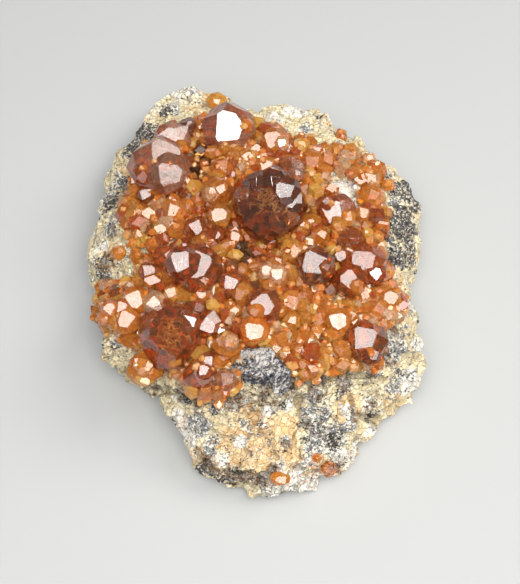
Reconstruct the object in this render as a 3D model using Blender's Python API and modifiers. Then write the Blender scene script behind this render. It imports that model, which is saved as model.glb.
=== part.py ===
"""A spessartine garnet druse: orange to red-brown garnets grown over the top of a lump of pale rock.

Metres, +Z up. The specimen rests on the flat underside of the rock, at Z = 0. Its front, -Y, is the
side nearest the viewer of the photograph, and +X is the photograph's right.
"""

import math
import random

import bmesh
import bpy
from mathutils import Matrix, Vector, noise

MM = 0.001

# The photograph's view: a place in the picture, in pixels, and a height give a place on the specimen
PIXELS_PER_MM = 5.93
VIEW_DISTANCE = 210 * MM
VIEW_ELEVATION = math.radians(62)
PICTURE_CENTRE = (260, 292)
AIM_POINT = Vector((0.8 * MM, -6.3 * MM, 12 * MM))
FOCAL_PIXELS = PIXELS_PER_MM * VIEW_DISTANCE / MM
VIEW_RIGHT = Vector((1, 0, 0))
VIEW_BACK = Vector((0, -math.cos(VIEW_ELEVATION), math.sin(VIEW_ELEVATION)))
VIEW_UP = Vector((0, math.sin(VIEW_ELEVATION), math.cos(VIEW_ELEVATION)))

# The rock
ROCK_SUBDIVISIONS = 5
ROCK_SQUARENESS = 3.2
ROCK_CELL = 1.2 * MM
ROCK_KEPT_FACES = 0.155
BELLY_HEIGHT_BACK = 10 * MM
BELLY_HEIGHT_FRONT = 3 * MM
FOOT_DEPTH = 2 * MM
CROWN_HEIGHT = 18 * MM
CROWN_CENTRE = (0, -9 * MM)
CROWN_HALF_WIDTH = 26 * MM
CROWN_REACH_BACK = 42 * MM
CROWN_FALL_SIDE = 4 * MM
CROWN_FALL_BACK = 6 * MM
SHELF_DROP = 5 * MM
SHELF_SLOPE = 0.35
SHELF_EDGE_WIDTH = 2 * MM
SWELL_SIZE = 11 * MM
SWELL_HEIGHT = 1.1 * MM
GRAIN_SIZE = 4.6 * MM
GRAIN_HEIGHT = 1.5 * MM
SMOOTH_BED_MARGIN = 1.8 * MM
SMOOTH_BED_FADE = 2 * MM
SIDE_NORMAL_Z = 0.7
BED_NORMAL_Z = 0.3
FOOT_BAND = 0.4 * MM

# The cracks that run along the rock's front and sides: height, depth, half width, and how far back
# from the front they reach
CRACKS = [
    (5.0 * MM, 1.8 * MM, 0.9 * MM, -14 * MM),
    (9.5 * MM, 1.4 * MM, 0.9 * MM, 40 * MM),
]
CRACK_WANDER = 1.5 * MM
CRACK_WANDER_LENGTH = 14 * MM
CRACK_FADE = 6 * MM
RIM_PICTURE_ROWS = (84, 496)

# The rock's rim, clockwise from the back left
ROCK_OUTLINE = [
    (150, 101), (166, 86), (190, 80), (207, 84), (230, 84), (243, 99), (257, 106), (275, 100),
    (293, 97), (316, 102), (329, 112), (348, 125), (364, 129), (376, 144), (391, 152), (407, 168),
    (421, 190), (428, 220), (427, 256), (410, 283), (412, 305), (426, 326), (422, 356), (432, 378),
    (418, 399), (393, 416), (378, 431), (358, 448), (353, 460), (338, 476), (320, 488), (285, 496),
    (250, 495), (238, 485), (210, 484), (190, 471), (180, 452), (173, 424), (163, 400), (148, 387),
    (124, 384), (106, 368), (95, 345), (94, 318), (98, 295), (90, 272), (86, 250), (94, 228),
    (96, 200), (105, 172), (111, 150), (128, 131),
]

# Where the rock steps down in front of the garnets, from left to right
SHELF_EDGE = [(150, 385), (190, 400), (235, 396), (290, 386), (350, 376), (430, 360)]

# The ground that the garnets cover, clockwise from the back left
DRUSE_OUTLINE = [
    (150, 135), (165, 122), (185, 117), (215, 108), (240, 105), (258, 114), (275, 124), (300, 132),
    (330, 133), (360, 152), (388, 168), (380, 190), (388, 215), (380, 228), (384, 250), (390, 283),
    (400, 290), (398, 312), (385, 328), (380, 365), (350, 364), (318, 372), (300, 380), (290, 362),
    (262, 342), (245, 345), (238, 385), (222, 398), (200, 400), (184, 378), (150, 362), (135, 340),
    (112, 334), (96, 330), (95, 312), (104, 292), (136, 284), (144, 264), (130, 238), (128, 205),
    (138, 165),
]

# Bare rock inside that ground: place and half width
ROCK_WINDOWS = [((338, 186), 2.2 * MM), ((352, 203), 2.6 * MM), ((145, 256), 1.8 * MM)]

# The garnets
GARNET_GAP = 0.3 * MM
CRUST_DEPTH = 2.4 * MM
CRUST_HEIGHT = 1.1 * MM
CRUST_EDGE_HEIGHT = 0.6 * MM
CRUST_JITTER = 0.6 * MM
CRUST_CELL = 4.6 * MM
FACE_JITTER = 0.05
GARNET_STRETCH = 0.12
SMALL_GARNETS = 72
SMALL_GARNET_WIDTH = (2.3 * MM, 3.6 * MM)
SMALL_GARNET_SPACING = 2.7 * MM
SMALL_GARNET_LIFT = 0.45
SMALL_GARNET_OVERHANG = 0.1
BURIED_SHARE = 0.42
CLEAR_OF_LONE = 0.7
SCATTER_TRIES = 6000
DRUSE_SEED = 11
LONE_GARNET_SEED = 500

# The leading garnets: place, width, height of the centre over the bed in half widths, and how the
# bright face lies, which is how far right and up of the centre it is seen, in half widths, and the
# crystal's turn about it in degrees. None leaves the crystal lying any way.
LEADING_GARNETS = [
    ((163, 167), 9.4 * MM, 0.42, (0.32, -0.36, 20)),
    ((172, 143), 7.0 * MM, 0.35, (-0.05, 0.38, 65)),
    ((228, 129), 9.8 * MM, 0.55, (0, 0, 10)),
    ((188, 130), 4.6 * MM, 0.50, None),
    ((270, 206), 12.8 * MM, 0.60, (0.42, 0.22, 35)),
    ((290, 172), 6.0 * MM, 0.50, None),
    ((197, 268), 8.6 * MM, 0.55, (0.25, 0, 0)),
    ((172, 335), 11.0 * MM, 0.55, None),
    ((117, 312), 7.6 * MM, 0.30, None),
    ((335, 213), 7.4 * MM, 0.40, (-0.1, 0, 50)),
    ((315, 266), 7.2 * MM, 0.50, (-0.15, 0.25, 15)),
    ((366, 265), 7.2 * MM, 0.50, (-0.25, 0.3, 40)),
    ((350, 281), 5.8 * MM, 0.60, (0.15, 0.3, 80)),
    ((366, 342), 7.4 * MM, 0.50, (0, 0.2, 30)),
    ((264, 305), 6.2 * MM, 0.50, (0.1, 0.1, 70)),
    ((254, 331), 5.2 * MM, 0.60, (0.1, 0.05, 25)),
    ((200, 376), 5.8 * MM, 0.40, None),
    ((145, 368), 5.8 * MM, 0.40, None),
    ((275, 142), 5.6 * MM, 0.50, (-0.3, 0.25, 45)),
    ((272, 277), 6.2 * MM, 0.50, None),
    ((136, 300), 5.0 * MM, 0.70, (0, 0.1, 55)),
    ((128, 321), 5.0 * MM, 0.70, (-0.2, 0.1, 5)),
    ((154, 303), 4.2 * MM, 0.60, (0.1, 0, 75)),
    ((165, 257), 4.6 * MM, 0.50, None),
    ((216, 194), 5.4 * MM, 0.50, None),
    ((220, 217), 4.6 * MM, 0.60, (-0.1, 0.1, 30)),
    ((197, 228), 4.4 * MM, 0.50, (0, 0.2, 60)),
    ((136, 216), 4.6 * MM, 0.40, None),
    ((209, 324), 5.0 * MM, 0.60, (0, -0.1, 85)),
    ((226, 345), 5.2 * MM, 0.40, None),
    ((225, 381), 4.6 * MM, 0.40, None),
    ((232, 284), 4.8 * MM, 0.60, (-0.1, 0, 12)),
    ((242, 294), 4.6 * MM, 0.40, None),
    ((289, 302), 5.0 * MM, 0.40, None),
    ((338, 321), 4.8 * MM, 0.50, (0.1, 0, 42)),
    ((344, 350), 3.8 * MM, 0.50, None),
    ((370, 198), 5.0 * MM, 0.40, None),
    ((376, 171), 4.0 * MM, 0.40, None),
    ((345, 170), 4.6 * MM, 0.30, None),
    ((312, 162), 4.6 * MM, 0.50, (0, -0.25, 20)),
    ((350, 240), 4.6 * MM, 0.60, None),
    ((320, 238), 3.8 * MM, 0.60, None),
    ((298, 232), 3.2 * MM, 0.60, None),
    ((291, 252), 4.4 * MM, 0.50, None),
    ((341, 257), 3.6 * MM, 0.60, (0.2, 0.2, 50)),
    ((221, 169), 3.8 * MM, 0.60, None),
    ((181, 149), 3.2 * MM, 1.40, None),
    ((187, 161), 2.8 * MM, 1.30, None),
    ((266, 166), 3.8 * MM, 0.50, (0.1, 0.1, 28)),
    ((248, 158), 3.4 * MM, 0.50, (0, 0.2, 66)),
    ((147, 195), 3.8 * MM, 0.50, (-0.1, 0.1, 38)),
    ((174, 212), 3.8 * MM, 0.60, (-0.1, 0.3, 14)),
    ((160, 229), 3.4 * MM, 0.50, (0.2, 0.1, 47)),
    ((235, 238), 2.8 * MM, 0.70, (0, 0.3, 22)),
    ((235, 256), 2.6 * MM, 0.70, None),
    ((149, 273), 3.8 * MM, 0.50, (0, 0.2, 33)),
    ((172, 294), 3.2 * MM, 0.80, (-0.2, 0.3, 58)),
    ((196, 309), 4.0 * MM, 0.50, None),
    ((213, 305), 2.4 * MM, 0.90, None),
    ((390, 300), 4.0 * MM, 0.40, (0.1, 0.3, 18)),
    ((222, 334), 3.0 * MM, 0.70, (0, 0, 9)),
    ((202, 294), 3.0 * MM, 0.70, (0.1, 0.1, 52)),
]

# Garnets that stand alone on the rock: node, place, width, lift and how far each axis is stretched
LONE_GARNETS = [
    ("garnet_north", (217, 101), 3.4 * MM, 0.10, (1.2, 1.0, 0.8)),
    ("garnet_west", (119, 253), 3.0 * MM, 0.40, (1.0, 1.0, 1.0)),
    ("garnet_south", (329, 469), 2.8 * MM, 0.10, (1.0, 1.0, 1.0)),
    ("garnet_south_middle", (280, 478), 2.6 * MM, 0.10, (1.5, 1.0, 0.8)),
    ("garnet_south_small", (317, 458), 1.6 * MM, 0.25, (1.0, 1.0, 1.0)),
]

# The dark quartz block in front of the garnets
QUARTZ_PLACE = (265, 364)
QUARTZ_SIZE = (10.0 * MM, 6.4 * MM, 6.0 * MM)
QUARTZ_LIFT = 0.5 * MM
QUARTZ_ROOM = 0.45 * MM
QUARTZ_TILT = (math.radians(-14), math.radians(8), math.radians(-20))
QUARTZ_CUTS = [
    ((0.6, 0.5, 0.7), 0.40), ((-0.7, 0.4, 0.6), 0.40), ((0.8, -0.6, 0.5), 0.42), ((-0.6, -0.7, 0.5), 0.43),
    ((0.1, -0.7, 0.8), 0.42), ((0.9, 0.1, 0.1), 0.46), ((-0.9, -0.1, 0.3), 0.45), ((0.2, 0.9, 0.4), 0.44),
]

COLOURS = {
    "rock": (0.62, 0.55, 0.43, 1.0),
    "garnet": (0.55, 0.14, 0.04, 1.0),
    "quartz": (0.16, 0.17, 0.19, 1.0),
}


def clear_scene():
    for obj in list(bpy.data.objects):
        bpy.data.objects.remove(obj)


def collection_named(name):
    made = bpy.data.collections.new(name)
    bpy.context.scene.collection.children.link(made)
    return made


def material_named(name, roughness):
    made = bpy.data.materials.new(name)
    made.use_nodes = True
    shader = made.node_tree.nodes["Principled BSDF"]
    shader.inputs["Base Color"].default_value = COLOURS[name]
    shader.inputs["Roughness"].default_value = roughness
    shader.inputs["Metallic"].default_value = 0.0
    return made


def seen_at(place, height):
    """The point at this height that the photograph shows at this place."""
    right = (place[0] - PICTURE_CENTRE[0]) / FOCAL_PIXELS
    up = (PICTURE_CENTRE[1] - place[1]) / FOCAL_PIXELS
    eye = AIM_POINT + VIEW_BACK * VIEW_DISTANCE
    ray = VIEW_RIGHT * right + VIEW_UP * up - VIEW_BACK
    return eye + ray * ((height - eye.z) / ray.z)


def smooth_step(value):
    value = min(max(value, 0.0), 1.0)
    return value * value * (3 - 2 * value)


def along(points, x):
    """y at x on a line of (x, y) points that runs from left to right."""
    for (x0, y0), (x1, y1) in zip(points, points[1:]):
        if x <= x1:
            return y0 + (y1 - y0) * max(x - x0, 0) / (x1 - x0)
    return points[-1][1]


def rim_points():
    """(angle, distance from the origin, height) round the rock's rim, by rising angle."""
    first, last = RIM_PICTURE_ROWS
    found = []
    for place in ROCK_OUTLINE:
        share = (place[1] - first) / (last - first)
        height = BELLY_HEIGHT_BACK + (BELLY_HEIGHT_FRONT - BELLY_HEIGHT_BACK) * share
        point = seen_at(place, height)
        found.append((math.atan2(point.y, point.x), math.hypot(point.x, point.y), height))
    found.sort()
    before = (found[-1][0] - math.tau, *found[-1][1:])
    after = (found[0][0] + math.tau, *found[0][1:])
    return [before, *found, after]


RIM = rim_points()
SHELF_LINE = [tuple(seen_at(place, CROWN_HEIGHT).xy) for place in SHELF_EDGE]


def rim_at(angle):
    """The rim's distance from the origin and its height in this direction."""
    for (a0, r0, h0), (a1, r1, h1) in zip(RIM, RIM[1:]):
        if angle <= a1:
            share = (angle - a0) / (a1 - a0)
            return r0 + (r1 - r0) * share, h0 + (h1 - h0) * share
    return RIM[-1][1:]


def bed_height(x, y):
    """Height of the rock's top, before its edge rounds over and before its roughness."""
    side = (x - CROWN_CENTRE[0]) / CROWN_HALF_WIDTH
    back = max(y - CROWN_CENTRE[1], 0) / CROWN_REACH_BACK
    height = CROWN_HEIGHT - CROWN_FALL_SIDE * side * side - CROWN_FALL_BACK * back * back
    past_edge = along(SHELF_LINE, x) - y
    height -= SHELF_DROP * smooth_step(past_edge / SHELF_EDGE_WIDTH)
    return height - SHELF_SLOPE * max(past_edge, 0)


def rock_top(x, y):
    """Height of the rock's top at this place, rounded over at its rim."""
    distance = math.hypot(x, y)
    reach, belly = rim_at(math.atan2(y, x))
    share = min(distance / reach, 0.999)
    rise = (1 - share**ROCK_SQUARENESS) ** (1 / ROCK_SQUARENESS)
    return belly + rise * (bed_height(x, y) - belly)


def on_rock(place, lift=0.0):
    """The point that stands lift above the rock's top where the photograph shows this place."""
    point = seen_at(place, CROWN_HEIGHT)
    for _ in range(8):
        point = seen_at(place, rock_top(point.x, point.y) + lift)
    return point


DRUSE_GROUND = [on_rock(place).xy for place in DRUSE_OUTLINE]
WINDOW_POINTS = [(on_rock(place).xy, radius) for place, radius in ROCK_WINDOWS]


def distance_inside(point, polygon):
    """Distance from the polygon's edge, positive inside it."""
    nearest, inside = math.inf, False
    for a, b in zip(polygon, polygon[1:] + polygon[:1]):
        side = b - a
        share = min(max((point - a).dot(side) / side.length_squared, 0), 1)
        nearest = min(nearest, (a + side * share - point).length)
        if (a.y > point.y) != (b.y > point.y) and point.x < a.x + side.x * (point.y - a.y) / side.y:
            inside = not inside
    return nearest if inside else -nearest


def druse_depth(x, y):
    """How far inside the garnets' ground this place is. It is negative outside, and on bare rock."""
    point = Vector((x, y))
    depth = distance_inside(point, DRUSE_GROUND)
    for centre, radius in WINDOW_POINTS:
        depth = min(depth, (point - centre).length - radius)
    return depth


def facet_height(point, size):
    """Height, in sizes, of broken grains: each has a flat face of its own tilt and level."""
    _, centres = noise.voronoi(point / size)
    tilt = noise.cell_vector(centres[0] * 7.3) - Vector((0.5, 0.5, 0.5))
    level = noise.cell(centres[0] * 5.1 + Vector((3.7, 1.9, 8.2))) - 0.5
    return (point / size - centres[0]).dot(tilt) + 0.5 * level


def crack_depth(point):
    """How far the cracks cut in at this place on the rock's side."""
    wander = CRACK_WANDER * noise.noise(point / CRACK_WANDER_LENGTH + Vector((4, 9, 2)))
    deepest = 0.0
    for height, depth, width, reach in CRACKS:
        fade = smooth_step((reach - point.y) / CRACK_FADE)
        away = abs(point.z - height - wander) / width
        deepest = max(deepest, depth * fade * smooth_step(1.5 - away))
    return deepest


def roughness_at(point, normal):
    """How far the rock's surface stands out here: swells, broken grains, and cracks in its sides."""
    swell = SWELL_HEIGHT * noise.noise(point / SWELL_SIZE)
    grain = GRAIN_HEIGHT * facet_height(point, GRAIN_SIZE)
    cover = 0.0
    if normal.z > BED_NORMAL_Z:
        cover = smooth_step((druse_depth(point.x, point.y) + SMOOTH_BED_MARGIN) / SMOOTH_BED_FADE)
    side = 1 - smooth_step(normal.z / SIDE_NORMAL_Z)
    return (swell + grain) * (1 - cover) - crack_depth(point) * side


def rock_form(mesh):
    """Moves a unit sphere's vertices to the rock's plain form, with a flat foot at height 0."""
    power = ROCK_SQUARENESS
    for vertex in mesh.vertices:
        unit = vertex.co.normalized()
        flat = math.hypot(unit.x, unit.y)
        size = (flat**power + abs(unit.z) ** power) ** (1 / power)
        share, rise = flat / size, unit.z / size
        reach, belly = rim_at(math.atan2(unit.y, unit.x))
        x, y = (Vector((unit.x, unit.y)).normalized() * share * reach) if flat > 1e-6 else (0.0, 0.0)
        far = bed_height(x, y) - belly if rise > 0 else belly + FOOT_DEPTH
        vertex.co = (x, y, max(belly + rise * far, 0.0))
    mesh.update()


def roughen(mesh):
    """Gives the rock its broken surface and leaves its foot flat."""
    moves = [vertex.normal * roughness_at(vertex.co, vertex.normal) for vertex in mesh.vertices]
    for vertex, move in zip(mesh.vertices, moves):
        foot = vertex.co.z < FOOT_BAND
        vertex.co += move
        vertex.co.z = 0.0 if foot else max(vertex.co.z, 0.0)
    mesh.update()


def object_from(bm, name, collection, material):
    mesh = bpy.data.meshes.new(name)
    bm.to_mesh(mesh)
    bm.free()
    obj = bpy.data.objects.new(name, mesh)
    obj.data.materials.append(material)
    collection.objects.link(obj)
    return obj


def evaluated_mesh(obj):
    graph = bpy.context.evaluated_depsgraph_get()
    return bpy.data.meshes.new_from_object(obj.evaluated_get(graph))


def thin_out(obj, kept):
    """Collapses the edges that matter least until this share of the faces is left."""
    fewer = obj.modifiers.new("fewer_faces", "DECIMATE")
    fewer.ratio = kept
    obj.data = evaluated_mesh(obj)
    obj.modifiers.remove(fewer)


def shells_of(bm):
    """The mesh's separate shells, each a set of vertices, largest first."""
    shells, waiting = [], set(bm.verts)
    while waiting:
        reached, border = set(), {waiting.pop()}
        while border:
            reached |= border
            border = {edge.other_vert(vertex) for vertex in border for edge in vertex.link_edges} - reached
        waiting -= reached
        shells.append(reached)
    return sorted(shells, key=len, reverse=True)


def keep_largest_shell(mesh):
    """Takes out splinters, and the small voids that crystals close off between them."""
    bm = bmesh.new()
    bm.from_mesh(mesh)
    for shell in shells_of(bm)[1:]:
        bmesh.ops.delete(bm, geom=list(shell), context="VERTS")
    bm.to_mesh(mesh)
    bm.free()


def build_rock(collection, material):
    bm = bmesh.new()
    bmesh.ops.create_icosphere(bm, subdivisions=ROCK_SUBDIVISIONS, radius=1.0)
    rock = object_from(bm, "matrix", collection, material)
    rock_form(rock.data)
    even = rock.modifiers.new("even_faces", "REMESH")
    even.mode = "VOXEL"
    even.voxel_size = ROCK_CELL
    rock.data = evaluated_mesh(rock)
    rock.modifiers.remove(even)
    roughen(rock.data)
    thin_out(rock, ROCK_KEPT_FACES)
    for vertex in rock.data.vertices:
        vertex.co.z = 0.0 if vertex.co.z < FOOT_BAND / 2 else vertex.co.z
    return rock


def hide_helper(obj):
    obj.hide_render = True
    obj.display_type = "WIRE"
    return obj


def grown_copy(obj, name, collection, amount):
    """A hidden copy of an object whose surface stands this far outside the first."""
    copy = bpy.data.objects.new(name, evaluated_mesh(obj))
    copy.matrix_world = obj.matrix_world
    collection.objects.link(copy)
    grow = copy.modifiers.new("gap", "DISPLACE")
    grow.strength = amount
    grow.mid_level = 0.0
    return hide_helper(copy)


def form_faces(numbers):
    """Every different normal that the cubic symmetry makes from these indices."""
    a, b, c = numbers
    orders = {(a, b, c), (a, c, b), (b, a, c), (b, c, a), (c, a, b), (c, b, a)}
    signs = [(x, y, z) for x in (1, -1) for y in (1, -1) for z in (1, -1)]
    found = {tuple(n * s for n, s in zip(order, sign)) for order in orders for sign in signs}
    return [Vector(normal).normalized() for normal in sorted(found)]


TRAPEZOHEDRON = form_faces((2, 1, 1))
DODECAHEDRON = form_faces((1, 1, 0))

# Each habit: the distance of its trapezohedron faces and of its dodecahedron faces, in half widths
HABITS = [(0.90, 1.06), (0.92, 0.98), (0.90, None), (None, 0.90)]
LARGE_WIDTH = 8 * MM
MIDDLE_WIDTH = 5.4 * MM


def habit_for(width, number):
    """Large garnets show both forms, middle ones one of them, and small ones the simpler form."""
    if width > LARGE_WIDTH:
        return HABITS[number % 2]
    if width > MIDDLE_WIDTH:
        return HABITS[2]
    return HABITS[3]


def cut_crystal(habit, jitter, chance):
    """A garnet of half width 1, cut from a cube by its face planes, each off its place by some jitter."""
    trapezohedron, dodecahedron = habit
    planes = [(normal, trapezohedron) for normal in TRAPEZOHEDRON if trapezohedron]
    planes += [(normal, dodecahedron) for normal in DODECAHEDRON if dodecahedron]
    bm = bmesh.new()
    bmesh.ops.create_cube(bm, size=3.0)
    for normal, distance in planes:
        cut_by_plane(bm, normal, distance * (1 + chance.uniform(-jitter, jitter)))
    return bm


def cut_by_plane(bm, normal, distance):
    """Takes off what stands beyond the plane, and closes the cut with one face."""
    everything = [*bm.verts, *bm.edges, *bm.faces]
    cut = bmesh.ops.bisect_plane(
        bm, geom=everything, dist=1e-4, plane_co=normal * distance, plane_no=normal, clear_outer=True
    )
    edges = [item for item in cut["geom_cut"] if isinstance(item, bmesh.types.BMEdge)]
    if len(edges) > 2:
        bmesh.ops.contextual_create(bm, geom=edges)


def crystal_turn(facing, first_face, chance):
    """The crystal's rotation: its first face seen at one place and turned about it, or lying any way."""
    if facing is None:
        axis = Vector([chance.gauss(0, 1) for _ in range(3)]).normalized()
        return Matrix.Rotation(chance.uniform(0, math.tau), 4, axis)
    right, up, angle = facing
    towards = math.sqrt(1 - right * right - up * up)
    normal = VIEW_RIGHT * right + VIEW_UP * up + VIEW_BACK * towards
    lay = first_face.rotation_difference(normal).to_matrix().to_4x4()
    return Matrix.Rotation(math.radians(angle), 4, normal) @ lay


def crystal_form(number, centre, width, facing, stretch=(1, 1, 1)):
    """One garnet's mesh, the same each time for the same number."""
    chance = random.Random(number)
    habit = habit_for(width, number)
    bm = cut_crystal(habit, FACE_JITTER if width > LARGE_WIDTH else 0.0, chance)
    turn = crystal_turn(facing, (TRAPEZOHEDRON if habit[0] else DODECAHEDRON)[0], chance)
    loose = GARNET_STRETCH if facing is None else 0.0
    sides = [width / 2 * side * (1 + chance.uniform(-loose, loose)) for side in stretch]
    bm.transform(Matrix.Translation(centre) @ Matrix.Diagonal((*sides, 1)) @ turn)
    bmesh.ops.recalc_face_normals(bm, faces=bm.faces)
    return bm


def leading_garnets():
    """(centre, width, facing) of each leading garnet."""
    return [
        (on_rock(place, lift * width / 2), width, facing)
        for place, width, lift, facing in LEADING_GARNETS
    ]


def small_garnets(leading, chance):
    """(centre, width, facing) of the small garnets that fill the ground between the leading ones."""
    lone = [(on_rock(place), width) for _, place, width, _, _ in LONE_GARNETS]
    xs = [point.x for point in DRUSE_GROUND]
    ys = [point.y for point in DRUSE_GROUND]
    placed = []
    for _ in range(SCATTER_TRIES):
        x, y = chance.uniform(min(xs), max(xs)), chance.uniform(min(ys), max(ys))
        width = chance.uniform(*SMALL_GARNET_WIDTH)
        centre = Vector((x, y, rock_top(x, y) + SMALL_GARNET_LIFT * width / 2))
        buried = any((centre - other).length < BURIED_SHARE * size for other, size, _ in leading)
        crowded = any((centre - other).length < SMALL_GARNET_SPACING for other, _, _ in placed)
        by_lone = any((centre - other).length < size / 2 + CLEAR_OF_LONE * width for other, size in lone)
        on_ground = druse_depth(x, y) > -SMALL_GARNET_OVERHANG * width
        if on_ground and not (buried or crowded or by_lone):
            placed.append((centre, width, None))
        if len(placed) == SMALL_GARNETS:
            break
    return placed


def build_crust(collection, material, chance):
    """The uneven crust that the garnets share, over all their ground, from inside the rock up."""
    bm = bmesh.new()
    bm.faces.new([bm.verts.new((*point, 0)) for point in DRUSE_GROUND])
    xs = [point.x for point in DRUSE_GROUND]
    ys = [point.y for point in DRUSE_GROUND]
    for axis, values in ((Vector((1, 0, 0)), xs), (Vector((0, 1, 0)), ys)):
        for step in range(1, int((max(values) - min(values)) / CRUST_CELL) + 1):
            everything = [*bm.verts, *bm.edges, *bm.faces]
            place = axis * (min(values) + step * CRUST_CELL)
            bmesh.ops.bisect_plane(bm, geom=everything, dist=1e-7, plane_co=place, plane_no=axis)
    bmesh.ops.recalc_face_normals(bm, faces=bm.faces)
    border = {vertex for vertex in bm.verts if vertex.is_boundary}
    heights = {}
    for vertex in bm.verts:
        inner = CRUST_HEIGHT + chance.uniform(-CRUST_JITTER, CRUST_JITTER)
        x, y = vertex.co.xy
        vertex.co.z = rock_top(x, y) - CRUST_DEPTH
        heights[(x, y)] = rock_top(x, y) + (CRUST_EDGE_HEIGHT if vertex in border else inner)
    raised = bmesh.ops.extrude_face_region(bm, geom=list(bm.faces))
    for vertex in [item for item in raised["geom"] if isinstance(item, bmesh.types.BMVert)]:
        vertex.co.z = heights[tuple(vertex.co.xy)]
    bmesh.ops.triangulate(bm, faces=bm.faces)
    bmesh.ops.recalc_face_normals(bm, faces=bm.faces)
    return object_from(bm, "garnet_druse", collection, material)


def boolean(obj, operation, other):
    made = obj.modifiers.new(operation.lower(), "BOOLEAN")
    made.operation = operation
    if isinstance(other, bpy.types.Collection):
        made.operand_type = "COLLECTION"
        made.collection = other
    else:
        made.object = other
    return made


def build_druse(parts, crystals, rock_cutter, material):
    """The crust and every crystal that grows from it, joined in one solid over the rock."""
    chance = random.Random(DRUSE_SEED)
    leading = leading_garnets()
    small = small_garnets(leading, chance)
    for number, (centre, width, facing) in enumerate(leading + small):
        form = crystal_form(number, centre, width, facing)
        hide_helper(object_from(form, f"crystal_{number}", crystals, material))
    druse = build_crust(parts, material, chance)
    boolean(druse, "UNION", crystals)
    boolean(druse, "DIFFERENCE", rock_cutter)
    return druse


def quartz_block(name, room, collection, material):
    """The dark quartz block, a broken lump with flat sides, larger all round by this much room."""
    bm = bmesh.new()
    bmesh.ops.create_cube(bm, size=1.0)
    for normal, distance in QUARTZ_CUTS:
        cut_by_plane(bm, Vector(normal).normalized(), distance)
    turn = Matrix.Rotation(QUARTZ_TILT[2], 4, "Z") @ Matrix.Rotation(QUARTZ_TILT[0], 4, "X")
    turn = turn @ Matrix.Rotation(QUARTZ_TILT[1], 4, "Y")
    centre = on_rock(QUARTZ_PLACE, QUARTZ_LIFT)
    size = [side + 2 * room for side in QUARTZ_SIZE]
    bm.transform(Matrix.Translation(centre) @ turn @ Matrix.Diagonal((*size, 1)))
    bmesh.ops.recalc_face_normals(bm, faces=bm.faces)
    return object_from(bm, name, collection, material)


def centre_on_origin(parts):
    """Moves everything together so that the specimen's box is centred over the origin."""
    low, high = Vector((math.inf,) * 3), Vector((-math.inf,) * 3)
    for obj in parts.objects:
        for vertex in evaluated_mesh(obj).vertices:
            low = Vector(map(min, low, vertex.co))
            high = Vector(map(max, high, vertex.co))
    for obj in bpy.data.objects:
        obj.location -= Vector((*((low + high) / 2).xy, low.z))


def main():
    clear_scene()
    parts = collection_named("spessartine_garnet_druse")
    helpers = collection_named("cutters")
    crystals = collection_named("druse_crystals")
    rock_material = material_named("rock", 0.85)
    garnet_material = material_named("garnet", 0.12)
    quartz_material = material_named("quartz", 0.45)

    rock = build_rock(parts, rock_material)
    rock_cutter = grown_copy(rock, "rock_cutter", helpers, GARNET_GAP)
    quartz = quartz_block("smoky_quartz", 0, parts, quartz_material)
    boolean(quartz, "DIFFERENCE", rock_cutter)
    quartz_cutter = hide_helper(quartz_block("quartz_cutter", QUARTZ_ROOM, helpers, quartz_material))
    druse = build_druse(parts, crystals, rock_cutter, garnet_material)
    boolean(druse, "DIFFERENCE", quartz_cutter)
    druse.data = evaluated_mesh(druse)
    druse.modifiers.clear()
    keep_largest_shell(druse.data)

    for number, (name, place, width, lift, stretch) in enumerate(LONE_GARNETS, LONE_GARNET_SEED):
        form = crystal_form(number, on_rock(place, lift * width / 2), width, None, stretch)
        lone = object_from(form, name, parts, garnet_material)
        boolean(lone, "DIFFERENCE", rock_cutter)
    centre_on_origin(parts)


main()
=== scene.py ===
"""The looks of a spessartine garnet druse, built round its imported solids. Metres, +Z up."""
import math
import random
from functools import lru_cache

import bmesh
import bpy
import numpy as np
from mathutils import Matrix, Vector, noise
from mathutils.bvhtree import BVHTree


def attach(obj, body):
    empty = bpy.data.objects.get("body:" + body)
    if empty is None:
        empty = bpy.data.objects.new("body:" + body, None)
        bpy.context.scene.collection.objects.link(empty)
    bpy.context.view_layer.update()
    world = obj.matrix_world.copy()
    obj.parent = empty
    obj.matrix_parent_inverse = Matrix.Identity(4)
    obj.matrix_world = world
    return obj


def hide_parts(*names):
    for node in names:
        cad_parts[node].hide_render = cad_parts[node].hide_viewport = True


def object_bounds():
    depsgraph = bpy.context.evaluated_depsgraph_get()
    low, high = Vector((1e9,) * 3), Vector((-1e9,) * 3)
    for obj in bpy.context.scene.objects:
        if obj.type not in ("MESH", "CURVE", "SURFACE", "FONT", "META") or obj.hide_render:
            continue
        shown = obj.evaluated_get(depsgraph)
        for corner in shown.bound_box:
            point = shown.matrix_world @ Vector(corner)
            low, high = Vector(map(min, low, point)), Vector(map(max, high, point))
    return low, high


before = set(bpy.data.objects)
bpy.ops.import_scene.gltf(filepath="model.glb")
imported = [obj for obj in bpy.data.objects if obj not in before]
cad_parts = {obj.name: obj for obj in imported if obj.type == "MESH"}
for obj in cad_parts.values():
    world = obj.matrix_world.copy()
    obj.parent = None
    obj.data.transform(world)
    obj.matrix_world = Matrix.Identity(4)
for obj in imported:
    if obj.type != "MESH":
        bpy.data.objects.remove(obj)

cad_box = [list(corner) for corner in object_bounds()]
MM = 0.001

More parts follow.
